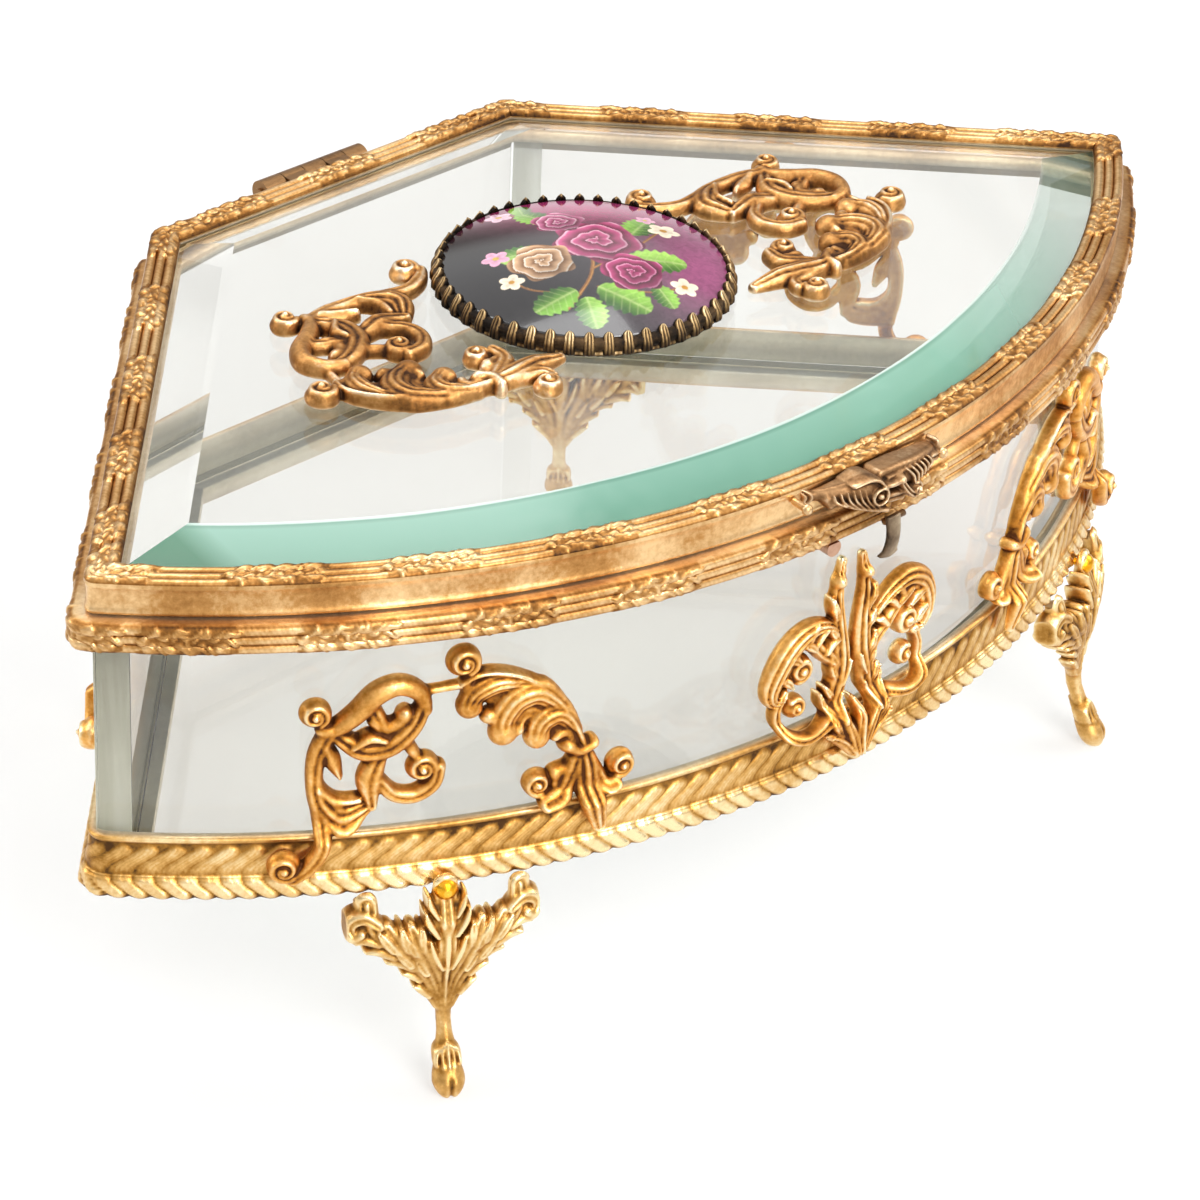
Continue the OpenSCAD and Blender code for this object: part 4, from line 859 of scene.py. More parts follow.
def crest(c):
    """Arched leaf with lobes and curls; x, y from the eye of its first volute."""
    c.band([(1.6, -2.2, 1.9), (0.6, -4.2, 2.2), (1.6, -5.8, 3.2)], 3.2)
    c.band([(2, -5.4, 4.2), (7.4, -7.2, 7.2), (11.8, -10.8, 7.8), (15.4, -14.6, 5.4), (19.2, -19, 2.6)],
           2.6)
    c.band([(15, -13.4, 2), (11.6, -11.6, 3.2), (9.9, -12.4, 2.8), (9.4, -14.2, 1.8)], 3.1, 1, 0.3)
    c.band([(11.2, -5.8, 2.6), (6, -4.8, 4.2), (2.4, -6, 4.3), (0.9, -8.4, 3.4)], [3.6, 4.3, 4.5, 3.9],
           3, 0.34)
    c.band([(17.2, -12.2, 2.8), (12.8, -7.9, 5), (8.9, -8.5, 5.4), (6.9, -11.6, 5), (6.9, -14.6, 3.8)],
           [3.6, 4.7, 5, 4.7, 4], 3, 0.36)
    c.band([(19.6, -17, 2.2), (16.6, -12.9, 4.4), (13.6, -13.4, 4.8), (12.5, -16.4, 3.8)],
           [3.4, 4.6, 4.8, 4.1], 3, 0.34)
    c.band([(19.4, -18.8, 1.4), (17.6, -16.8, 2.4), (15.8, -17.4, 2)], 3.4)
    for x, y, r, high in ((1.2, -8.9, 2.2, 4.2), (6.9, -14.7, 2.5, 4.6), (12.7, -16.8, 2.2, 4.4),
            (9.3, -14.5, 1.1, 3.8), (4.4, -11.2, 1.5, 3.8)):
        c.ball(x, y, r, high)
    c.band([(-0.4, -4.2, 1), (2.6, -2.7, 1.2), (6.7, -3, 1.2), (11.5, -5.4, 1.2), (15.7, -9.9, 1.2),
           (18.6, -14.7, 1.2), (20.6, -19.6, 1.6)], [3.4, 4, 4.1, 4.1, 4], k=0.2)
    c.band([(17.8, -19.3, 2.2), (19.9, -20.5, 2.5), (22.3, -19.7, 2.2)], 4.6, k=0.15)
    c.ball(17.9, -19.2, 1.6, 4.1)
    c.band([(20.5, -20.4, 2.8), (21.3, -24.6, 4.6), (21.8, -29.4, 4.7), (23.2, -35.2, 2.4)],
           [4.2, 4.4, 4, 2.4], 2, 0.5, 0.2)
    c.band([(19.9, -21.2, 2.4), (18.8, -24.6, 3.6), (17.2, -27.9, 3.4), (14, -28.9, 2.7)], 3.9, 1, 0.4)
    c.band([(18.6, -24, 2.4), (16.4, -24.6, 2.6), (15.9, -26.6, 1.8)], 3.2)
    c.ball(15.9, -24.6, 1.3, 3.4)
    c.band([(21.2, -21.4, 2.2), (22.9, -25.2, 2.8), (24.6, -28.2, 2.7), (26.6, -28.4, 2.2)], 3.6, 1, 0.35)
    c.volute(0, 0, 3.2, 4.4, -60)
    c.volute(12.9, -25.8, 2.7, 4.1, -70, turn=-1)
    c.volute(27.6, -25.5, 2.8, 4.2, -110)


def scroll(c):
    """Outer half of a scroll mount: an eyed scroll and its hanging tendril."""
    c.band([(-0.2, -4.7, 1.7), (-3.8, -4.9, 1.5), (-7.6, -5.2, 1.8)], 2.6)
    c.band([(-6, -8.2, 2.4), (-7, -5, 3.1), (-10.2, -3.2, 3.5), (-13.8, -4.4, 3.8), (-17, -7.8, 3.6),
           (-20.2, -10.3, 3.1), (-22.6, -10.4, 2.2)], [3.8, 4.3, 4.6, 4.4, 3.8], k=0.3)
    c.band([(-15.2, -5.8, 2.3), (-13.7, -9, 2.9), (-12.4, -13.4, 3)], 3.5, 1, 0.35)
    c.band([(-6.2, -7, 2.6), (-7.9, -10.9, 3.6), (-11.5, -14.2, 4.4), (-15.6, -14.8, 4.2),
           (-18.8, -12.8, 3.3), (-20.8, -10.8, 2.4)], [3.8, 4.2, 4.4, 4.4, 3.8], 1, 0.5, 0.2)
    c.band([(-14.2, -9.6, 2.4), (-12, -10.9, 3), (-9.8, -9.9, 2.5), (-9.2, -8.3, 1.8)], 3.4)
    c.ball(-9.4, -8.8, 1.5, 3.6)
    c.band([(-17.6, -13.6, 1.6), (-15, -12.2, 2.2), (-12.6, -12.8, 1.4)], 4.6, k=0.25)
    c.band([(-21.4, -10.8, 3), (-23.3, -15.6, 3.1), (-23.6, -21.6, 2.9), (-22.7, -26.8, 3),
           (-22.6, -31.2, 2.8), (-24.6, -34.8, 2.9), (-27.2, -37, 2.5)], [4, 3.6, 3.8, 3.8, 3.6], 1, 0.3)
    c.band([(-22, -13.2, 2), (-20.9, -16.4, 3.1), (-19.7, -19.4, 1.3)], 3.4, ridge=0.2)
    c.band([(-23.6, -19.6, 1.8), (-22.4, -24, 4.2), (-19.6, -27.2, 5.2), (-16.4, -26.4, 3.8),
           (-14.6, -25.2, 1.9)], [3.2, 4, 4.6, 4.2, 3.2], 2, 0.5)
    c.band([(-23, -21.5, 1.3), (-20.2, -24, 2), (-16.6, -24, 1.4)], 4)
    c.band([(-13, -15.6, 2.6), (-14.9, -20.4, 4.5), (-14.4, -25.8, 1.9)], [3.6, 4.6, 3.6], 1, 0.45, 0.2)
    c.band([(-13.4, -20.8, 2.4), (-11, -23.8, 2.9), (-7.6, -24.5, 3.1), (-4.6, -22.6, 3.1),
           (-3.7, -19.6, 2.6)], 3.9, 1, 0.35)
    c.band([(-9.6, -12.6, 2.2), (-8.4, -15.2, 2.2), (-7.2, -17.2, 1.9)], 3.2)
    c.volute(-23.6, -7.4, 2.9, 4.3, -60, turn=1)
    c.volute(-28.6, -34.6, 3.1, 4.3, -50, turn=-1)
    c.volute(-6.4, -19.2, 3, 4.2, -20, turn=1)


def centre(c):
    """Split stem, leafy wings and curls; the lower tip is at the origin."""
    for h, wing in ((-1, [(-3.2, 23.6, 1.6), (-6.8, 26.4, 2.6), (-10.8, 26.9, 3.8), (-14.4, 24.9, 4.6),
            (-17, 21, 4.8), (-18.2, 17.6, 3.8), (-17.4, 15.4, 2.6), (-15.4, 15.6, 1.6)]),
            (1, [(3.2, 22.6, 1.6), (7, 26.6, 2.8), (11.8, 28.3, 4), (16, 26.4, 4.8), (18.2, 22.6, 4.6),
            (18.6, 19.2, 3.6), (17.4, 16.8, 2.4), (15.2, 16.6, 1.6)])):
        c.band(wing, [3.2, 3.9, 4.4, 4.6, 4.4, 4, 3.4], 3, 0.5)
        for x, y, x2, y2, w in ((16.2, 24.6, 12.6, 22.8, 2.2), (17.2, 20.8, 14.4, 18.8, 2.1),
                (12.8, 26.2, 9.6, 24.2, 2.2)):
            x, y, y2 = (x, y, y2) if h > 0 else (x - 1, y - 1.3, y2 - 1.2)
            c.band([(h * x, y, 1.4), (h * (x + x2) / 2, (y + y2) / 2 + 0.3, w), (h * x2, y2, 0.9)],
                   4.6, 1, 0.3, 0.25)
        c.band([(h * 12, 27.9 + h * 0.7, 1.4), (h * 10.4, 25, 2.4), (h * 7.8, 21.8, 2.8),
               (h * 4.4, 18.8, 2.8)], 3.8, 1, 0.45, 0.2)
        for x, y, x2, y2 in ((9.4, 24.2, 7.2, 26.2), (7, 21.6, 4.6, 23.4), (11, 25.6, 9.4, 28)):
            c.band([(h * x, y, 1.6), (h * (x + x2) / 2, (y + y2) / 2 + 0.4, 1.9), (h * x2, y2, 0.8)],
                   4.2, k=0.12)
        c.volute(h * 12.6, 20.2, 3.1, 4.4, -90, turn=-h, wraps=1.3)
        c.band([(h * 15.4, 16.6, 1.6), (h * 16.9, 13.2, 1.9), (h * 15.9, 9.4, 2.1), (h * 12.4, 7.6, 2.2),
               (h * 8.6, 8.4, 2.2), (h * 5, 10, 2.2)], 3.6, 1, 0.4)
        c.volute(h * 12.8, 12.8, 2.4, 4, 90 - h * 40, turn=h, wraps=1.2)
    for h, path in ((-1, [(-0.6, 0.2, 1.8), (-3, 4.6, 3.4), (-4.8, 9.4, 4.2), (-3.6, 14, 4.6),
            (-3.1, 19, 4.4), (-3.9, 25.4, 3.4), (-4.5, 31.6, 2.6), (-3.4, 37.6, 1.6)]),
            (1, [(-0.2, 0.2, 1.8), (2, 4.6, 3.2), (3.8, 9.2, 3.8), (3, 14, 4.4), (1.9, 19, 4.4),
            (1.7, 25.2, 3.4), (2.2, 31, 2.6), (1.4, 37, 1.6)])):
        c.band(path, [2.6, 3.6, 4, 4.2, 4, 3.6, 3.2, 2.4], 2, 0.55)
        line = spline(path, 8)
        for n, i in enumerate((13, 18, 22, 28, 32, 39, 45)):
            x, y, w = line[i]
            tip = 2.4 - 0.03 * (i - 20) + 0.7 * math.sin(n * 2.3)
            reach = h * (w * 0.5 + 0.5 + 0.35 * math.sin(n * 1.7))
            c.band([(x + h * 0.5, y - 1.9, 1.5), (x + reach * 0.7, y + 0.2, 1.8),
                   (x + reach, y + tip, 0.7)], [3.6, 4.4, 3.8], 1, 0.25, 0.25)
        for i in (17, 27):
            x, y, w = line[i]
            c.band([(x - h * 0.2, y - 1.8, 0.9), (x - h * w * 0.25, y + 0.4, 1.5),
                   (x - h * w * 0.38, y + 2.4, 0.7)], 4.4, k=0.25)
    for h in (-1, 1):
        c.band([(h - 0.4, 0.4, 1.4), (h * 3.2 - 0.4, 3.6, 2.6), (h * 5.6 - 0.4, 5.6, 2.2),
               (h * 7.2 - 0.4, 6.2, 0.9)], 4, 2, 0.3, 0.3)
        c.band([(h * 0.6 - 0.5, 0.8, 1.2), (h * 2 - 0.5, 5, 2.4), (h * 3.6 - 0.5, 8.6, 1)],
               4.5, 1, 0.3, 0.3)
    c.band([(-0.4, 0.6, 1.4), (-0.6, 5, 2.8), (-0.6, 10.4, 1)], 4.9, 2, 0.35, 0.3)
    c.ball(-4.4, 34.2, 1.2, 4)
    c.ball(2.1, 33.8, 1.1, 4)


crest_v, crest_f, crest_t = build_casting(crest, (-4.5, 33, -37.5, 4.6, -0.6, 6.4))
scroll_v, scroll_f, scroll_t = build_casting(scroll, (-35.5, 1.5, -39.5, 0.5, -0.6, 6.4))
both_v = np.concatenate([crest_v, scroll_v])
both_f = np.concatenate([crest_f, scroll_f + len(crest_v)])
both_t = np.concatenate([crest_t, scroll_t])
for node, v, hand in (("front_left_scroll", on_front(both_v, -26, SCROLL_Z), 1),
                      ("front_right_scroll", on_front(both_v, 23, SCROLL_Z, -1), -1),
                      ("right_side_scroll", on_side(both_v, SIDE_SCROLL_AT, SCROLL_Z), 1),
                      ("left_side_scroll", on_side(both_v, SIDE_SCROLL_AT, SCROLL_Z, -1), -1)):
    cast(node, v, turned(both_f, hand), ORANGE, both_t, "box", "orange_gilt")
for node, x, y, hand, crest_turn, scroll_turn in (("lid_left_scroll", -59.5, -66, -1, -102.5, -81.4),
                                                  ("lid_right_scroll", 64.5, -77, 1, -113.4, -88)):
    v = np.concatenate([on_lid(crest_v, x, y, hand, crest_turn), on_lid(scroll_v, x, y, hand, scroll_turn)])
    cast(node, v, turned(both_f, hand), LID_GILT, both_t, "lid", "orange_gilt")
v, f, t = build_casting(centre, (-25, 25, -2, 40.5, -0.6, 6.6))
cast("front_centre_mount", on_front(v, -0.3, CENTRE_Z), f, ORANGE, t, "box", "orange_gilt",
     "front_centre_cast")


def foot(c):
    """Acanthus bracket, slender ankle and hoof; x across the foot, y the height."""
    def both(points, high, *more, **named):
        for way in (1, -1):
            c.band([(way * x, y, w) for x, y, w in points], high, *more, mid=0.2, **named)

    both([(0.9, 15.2, 2.2), (1.9, 18.4, 3.4), (3.2, 22.4, 4.2), (4.8, 26.6, 4.8), (7.2, 29.6, 4.4)], 1.3)
    both([(1, 15.2, 1.8), (2.7, 18.8, 2.7), (4.6, 22.6, 3.4), (7.1, 26, 4.2), (10.2, 28.8, 4.6),
          (12.6, 31.8, 4.4), (12.9, 36, 3.8)], [1.4, 1.7, 2, 2.2, 2.3, 2.1, 1.8], 2, 0.5)
    both([(11.2, 32.4, 2.4), (13.6, 33.8, 3), (15.6, 32.6, 2.6), (15.5, 30.4, 2)], 2.6, 1, 0.35, 0.2)
    both([(14, 30.9, 2.2), (15.2, 30, 2.6), (15.9, 30.6, 2)], 2.7, k=0.2)
    both([(2.6, 17.2, 1.4), (4, 18.8, 1.9), (5.2, 19.6, 0.8)], 1.9, k=0.2)
    both([(4.2, 20.6, 1.4), (5.8, 22, 1.9), (7.2, 22.5, 0.8)], 2, k=0.15)
    both([(5.6, 23.4, 1.8), (7.8, 24.9, 2.4), (9.8, 25, 0.9)], 2.2, k=0.15)
    both([(8.6, 26, 2), (11, 27.3, 2.6), (13.2, 27.2, 0.9)], 2.4, k=0.15)
    both([(11.2, 28.8, 2), (13.4, 29.6, 2.4), (14.9, 29, 0.9)], 2.4, k=0.15)
    both([(0.8, 16.2, 1.4), (2.5, 20.5, 2.8), (5, 24.8, 4), (7.9, 28.6, 4.4), (9.8, 32, 2.2)],
         [1.6, 2.1, 2.6, 2.9, 2.2], 1, 0.4, 0.2)
    both([(0.5, 16.2, 1.4), (1.7, 21, 2.8), (3.4, 25.4, 3.8), (4.9, 28.8, 4), (5.9, 31.9, 2)],
         [1.7, 2.3, 2.9, 3.2, 2.4], 1, 0.4, 0.2)
    for x, y, x2, y2, w in ((6.6, 28, 7.6, 31.8, 2.2), (8.9, 28, 11.2, 31.2, 2.4), (4.2, 28, 4.3, 31.6, 2),
                            (5.4, 27.2, 7, 30.4, 2), (3.4, 22.6, 5, 25.4, 1.8), (6, 24.6, 8.2, 27.2, 1.9)):
        both([(x, y, w), ((x + x2) / 2, (y + y2) / 2, w * 1.15), (x2, y2, 1.2)], 3.1, 1, 0.25, 0.18)
    c.band([(0, 15.2, 2.2), (0, 19, 2.8), (0, 23.5, 3.6), (0, 28, 4.4), (0, 31.6, 3)],
           [1.8, 2.4, 3, 3.2, 2.6], 2, 0.4, 0.25, mid=0.2)
    both([(0.8, 23.4, 1.4), (2.2, 26.4, 2), (3, 29.4, 0.9)], 3, k=0.12)
    c.band([(0, 29, 3), (0, 32.4, 6), (0, 35.4, 5), (0, 38.6, 4.2)], [2.4, 2.8, 1.9, 1.4],
           3, 0.35, 0.3, mid=0.2)
    both([(1.6, 30, 1.4), (3, 32.4, 2), (3.7, 34.6, 0.8)], 2.8, k=0.12)
    both([(1.6, 33.4, 1.2), (2.7, 35.4, 1.6), (3.1, 37.2, 0.8)], 2.5, k=0.12)
    c.band([(0, 16.6, 3), (0, 13.4, 2.6), (0, 10.4, 2.6), (0, 8.4, 3.3), (0, 6, 4.6)], 1.5, mid=0)
    for x in (-1.8, -0.9, 0, 0.9, 1.8):
        c.band([(x * 0.6, 9 - abs(x) * 0.5, 0.7), (x, 7.2, 1.1), (x * 1.15, 5.4, 0.7)],
               2.5 - abs(x) * 0.35, mid=0.2, k=0.25)
    w, gx, gy, gz = c.window((-4, -1), (4, 8))
    wide = 2.85 - 0.1 * np.abs(gy - 2.2)
    tall = np.where(gy < 3, 3.7, 3.9)
    hoof = np.sqrt((gx / wide)[..., None] ** 2 + ((gy - 3) / tall)[..., None] ** 2 + ((gz - 0.1) / 2.7) ** 2)
    cleft = 0.42 * np.exp(-(gx / 0.36) ** 2) * smoother((4.6 - gy) / 1.5)
    c.join(w, (hoof - 1) * 2.6 + cleft[..., None] * (gz > 0), 0.5)
    c.f = np.maximum(c.f, (0.02 - c.y)[None, :, None].astype(np.float32))


# how far the middle of the foot leans out at each height
HEIGHTS = [-1, 0, 3, 7, 12, 16.5, 20, 24.5, 29, 32, 34.6, 36.5, 41]
OUTS = [10.4, 10.4, 9.6, 7.6, 5.6, 4.9, 4.7, 5.1, 5.4, 5.3, 5.0, 4.6, 4.6]
fc = Casting(-16.5, 16.5, -0.6, 41, -4.2, 4.4, STEP)
foot(fc)
v, f, t = fc.mesh()
# the foot faces down into shade, so its tone is lifted: painted light
t = np.clip(t * 1.05 + 0.14, 0, 1)
# the wings of the bracket fall back to the band
fx, fz = v[:, 0], v[:, 1]
fo = np.interp(fz, HEIGHTS, OUTS) + v[:, 2] - smoother((fz - 16) / 10) * 0.011 * fx ** 2
fo = np.where(fz > FOOT_H - 0.4, np.maximum(fo, UNDER_BASE), fo)
for node, a in (("front_left_foot", -FOOT_TURN), ("front_right_foot", FOOT_TURN)):
    px = fx * math.cos(a) + (ARC_R + fo) * math.sin(a)
    py = ARC_Y + fx * math.sin(a) - (ARC_R + fo) * math.cos(a)
    cast(node, np.stack([px, py, fz], -1), f, BRIGHT, t, "box", "bright_gilt")
for node, hand in (("back_right_foot", 1), ("back_left_foot", -1)):
    v = np.c_[on_wall(BACK_FOOT_AT, fx, fo) * [hand, 1], fz]
    cast(node, v, turned(f, hand), BRIGHT, t, "box", "bright_gilt")


# ---------------------------------------------------------------- clasp
CLASP_SHIFT = 1.5
PIN_OUT = 5.5
PIN_TURN = math.radians(0.75)
PIN_Z = 86.2
TONGUE_TOP = 87.4
TONGUE_SHIFT = 1.1


def clasp(c):
    """Ribbed shells either side of a ringed boss, joined by a ribbon link; x along the rim, y the height."""
    c.band([(-15.9, 94.2, 1.6), (-13.6, 94.3, 2.2), (-11.2, 94.4, 3.2), (-8.6, 94.5, 4.2), (-5.6, 94, 5),
           (-3.8, 93, 4.2)], [1.4, 2.2, 2.8, 3.1, 3.2, 2.8])
    c.band([(-12.4, 93.2, 0.6), (-9.5, 92.2, 0.8), (-6.5, 91.2, 0.9), (-3.4, 90.2, 1.1)], [3, 3.6, 3.8, 4],
           k=0.15)
    for i in range(7):
        t = i / 6
        low = (-11.6 + 6.4 * t, 93 - 2.2 * t)
        top = (-12.4 + 5.6 * t, 94 + 1.3 * math.sin(math.pi * (0.15 + 0.6 * t)))
        mid = ((low[0] + top[0]) / 2 - 0.25, (low[1] + top[1]) / 2 - 0.15)
        c.band([(low[0] + 0.7, low[1] - 0.2, 0.6), (mid[0], mid[1], 0.75), (top[0], top[1], 0.4)],
               [3.8, 3.9, 3.2], k=0.1)
    c.band([(-9.8, 96.2, 0.7), (-7.4, 96.9, 1), (-5.5, 96.4, 1), (-4.4, 95.1, 0.8)], 3.9, k=0.15)
    turn = np.linspace(0, 2 * math.pi, 13)
    c.band([(-5.1 + 1.45 * math.cos(a), 93.4 + 1.45 * math.sin(a), 0.7) for a in turn], 4.2, k=0.1, smooth=2)
    c.ball(-5.1, 93.4, 0.75, 4.4, k=0.1)
    c.band([(-4.4, 95, 1.2), (-2.2, 94.6, 1.4), (-0.6, 94.7, 1.8)], 4, k=0.2)
    c.ball(-0.4, 94.8, 1, 4.5, k=0.2)
    c.band([(-0.2, 94.4, 1.1), (0.7, 93, 1.4), (2.2, 91.2, 1.5), (3.8, 89.9, 1.3)], 4.1, 1, 0.3, 0.15)
    c.band([(-3.6, 92, 1.6), (-1.8, 91.6, 2.2), (0.8, 91.2, 2.4)], 3.1, 1, 0.4)
    c.band([(-3.6, 96.2, 1.6), (0.5, 96, 1.9), (4.6, 95.4, 2), (8.6, 94.8, 1.8), (12.4, 94.2, 1.2)],
           [1.6, 2, 2.3, 2.2, 1.6])
    c.band([(-2.8, 95.6, 0.8), (1.2, 95.6, 0.9), (5.4, 94.9, 0.8)], 2.6, k=0.2)
    c.band([(1.4, 94.2, 3.2), (4.4, 93.6, 3.4), (7, 93.6, 2.4)], 2.7)
    for i in range(6):
        c.band([(1.2 + 1.3 * i, 95.8 - 0.16 * i, 0.6), (2.7 + 1.12 * i, 94.1 - 0.02 * i, 0.85),
               (3.4 + 0.85 * i, 92.3 + 0.2 * i, 0.6)], [3.6, 3.9, 3.7], k=0.1)
    c.volute(4.3, 90.9, 1.6, 4.1, 100, turn=-1, wraps=1.2)
    c.band([(8.4, 94, 1.2), (11.4, 93.2, 2.2), (14.2, 92.2, 1)], [3, 3.4, 2.8], 1, 0.4)
    c.band([(12.2, 95.4, 1), (12.6, 93.8, 1.8), (13.2, 92.6, 1.2)], 2.6)
    c.band([(-13.2, 93.9, 1.6), (-12.6, 92.6, 1.2)], 2.8)
    c.band([(-16.6, 95.4, 1), (-15.6, 94.4, 1.8), (-15.9, 93.2, 1.1)], 2.5, 1, 0.4)


v, f, t = build_casting(clasp, (-18, 88, 15.6, 98.6, -0.6, 5.2), CLASP_STEP)
bend = np.where(v[:, 0] < -3, 0.03, 0.012)
out = CLASP_OUT - bend * (v[:, 0] + 3) ** 2 - 3.9 + v[:, 2]
behind = smoother((0.4 - v[:, 2]) / 0.6) * smoother((v[:, 1] - 90.4) / 0.5)
out = out * (1 - behind) + 1.25 * behind
# the part tucked back against the rim is painted darker: painted shade
t = (0.13 + 0.7 * t) * (1 - 0.45 * behind)
v = on_arc((v[:, 0] + CLASP_SHIFT) / ARC_R, ARC_R + out, v[:, 1])
cast("clasp_shell", v, f, CLASP, t, "lid", "dark_bronze", "clasp_cast")

# tongue: a thin blade bowed outward, ending in a fishtail
rows, cols = 28, 13
u = np.linspace(-1, 1, cols)[None, :]
t = np.linspace(0, 1, rows)[:, None]
half = 1.4 - 0.15 * np.sin(math.pi * t) + 0.6 * smoother((t - 0.8) / 0.2)
drop = 8.0 * t - 0.35 * np.abs(u) ** 1.5 * smoother((t - 0.85) / 0.15)
bow = 1.1 + 0.7 * np.sin(math.pi * t) - 0.5 * t + 0.22 * (1 - u ** 2)
angle = PIN_TURN + (half * u - TONGUE_SHIFT) / ARC_R
blade = [on_arc(angle, ARC_R + PIN_OUT + bow - back, TONGUE_TOP - drop).reshape(-1, 3) for back in (0.0, 0.8)]
tone = np.tile((0.55 + 0.25 * u + 0.1 * np.sin(t * 9)).reshape(-1), 2)
tongue = make("tongue_blade", np.concatenate(blade), sheet_faces(rows, cols), TONGUE, tone)
belongs(tongue, "latch", "dark_bronze", "latch_tongue")

# short rivet the tongue hangs on
count = 20
a = np.linspace(0, 2 * math.pi, count, endpoint=False)
v = [on_arc(PIN_TURN + x / ARC_R, ARC_R + PIN_OUT + r * np.cos(a), PIN_Z + r * np.sin(a))
     for x, r in ((-2.4, 0.35), (-2.3, 0.6), (2.3, 0.6), (2.4, 0.35))]
faces = grid_faces(4, count)[:3 * count].tolist() + [tuple(range(count)), tuple(range(3 * count, 4 * count))]
belongs(make("tongue_rivet", np.concatenate(v), faces, HINGE), "lid", "dark_bronze", "latch_pin")


# ---------------------------------------------------------------- medallion
RING_COUNT = 480
PLAQUE_FOOT = 1.05  # heights over the lid glass
PLAQUE_EDGE = 3.35
PLAQUE_RISE = 3.9
PLAQUE_TURN = math.radians(-44)
PLAQUE_COUNT = 280


def on_medallion(x, y, z):
    """Points from the medallion's own axis and its seat on the lid glass."""
    return np.stack([MED_X + x, MED_Y + y, SEAT_Z + z], -1)


ring_profile = resample(
    [(22.7, 0), (25.6, 0), (25.8, 0.5), (25.6, 0.9), (25.9, 1.3), (26.1, 2.2), (25.9, 2.9), (25.0, 3.3),
     (24.7, 2.9), (24.65, 1.0), (22.7, 1.0)], lambda p: 0.35 if p[0] > 25 else 2)
turn = 2 * math.pi * np.arange(RING_COUNT)[:, None] / RING_COUNT
r, z = ring_profile.T[:, None, :]
# the ring is dark, with a row of bright spots along the bead line: painted highlights standing for beads that
# the mesh lacks
beads = np.exp(-((z - 0.55) / 0.3) ** 2) * (r > 25.2)
ring_tone = 0.14 + 0.75 * beads * (0.35 + 0.65 * np.abs(np.sin(turn * CLAWS)))
ring = on_medallion(r * np.cos(turn), r * np.sin(turn), z + 0 * turn).reshape(-1, 3)
bezel = make("bezel_ring", ring, grid_faces(*ring_tone.shape), BRONZE, ring_tone.reshape(-1))
belongs(bezel, "lid", "dark_bronze", "medallion_bezel")

# one claw: a slim fluted lancet that rises from the ring and leans in over the plaque
rows, cols = 12, 13
t = np.arange(rows)[:, None] / (rows - 1)
q = 2 * np.arange(cols)[None, :] / (cols - 1) - 1
half = (1.02 - 0.12 * t) * np.sqrt(np.maximum(1 - (np.maximum(t - 0.7, 0) / 0.305) ** 2, 0.002))
flute = np.abs(np.cos(1.5 * math.pi * q))
lift = 0.42 * (1 - q * q) + 0.2 * flute - 0.1
slope = 0.3 * smoother((t - 0.4) / 0.6)
lean = 26.1 - 1.25 * smoother((t - 0.25) / 0.85)
top = np.stack([lean + lift * (1 - slope), q * half, 0.6 + 3.75 * t + lift * slope], -1).reshape(-1, 3)
claw = np.concatenate([top, top - [0.45, 0, 0.35]])
# claws painted dark in their flutes and towards the root and light on the ridges and tips: painted shade and
# highlight
claw_tone = np.tile(((0.1 + 0.8 * flute) * (0.3 + 0.85 * t)).reshape(-1), 2)
verts, quads, tones = [], [], []
for i in range(CLAWS):
    a = 2 * math.pi * (i + 0.5) / CLAWS
    c, s = math.cos(a), math.sin(a)
    verts.append(on_medallion(claw[:, 0] * c - claw[:, 1] * s, claw[:, 0] * s + claw[:, 1] * c, claw[:, 2]))
    quads.append(sheet_faces(rows, cols) + i * len(claw))
    tones.append(claw_tone * (0.85 + 0.3 * ((i * 7) % 5) / 5))
claws = make("bezel_claws", np.concatenate(verts), np.concatenate(quads), BRONZE, np.concatenate(tones))
belongs(claws, "lid", "dark_bronze", "medallion_bezel")


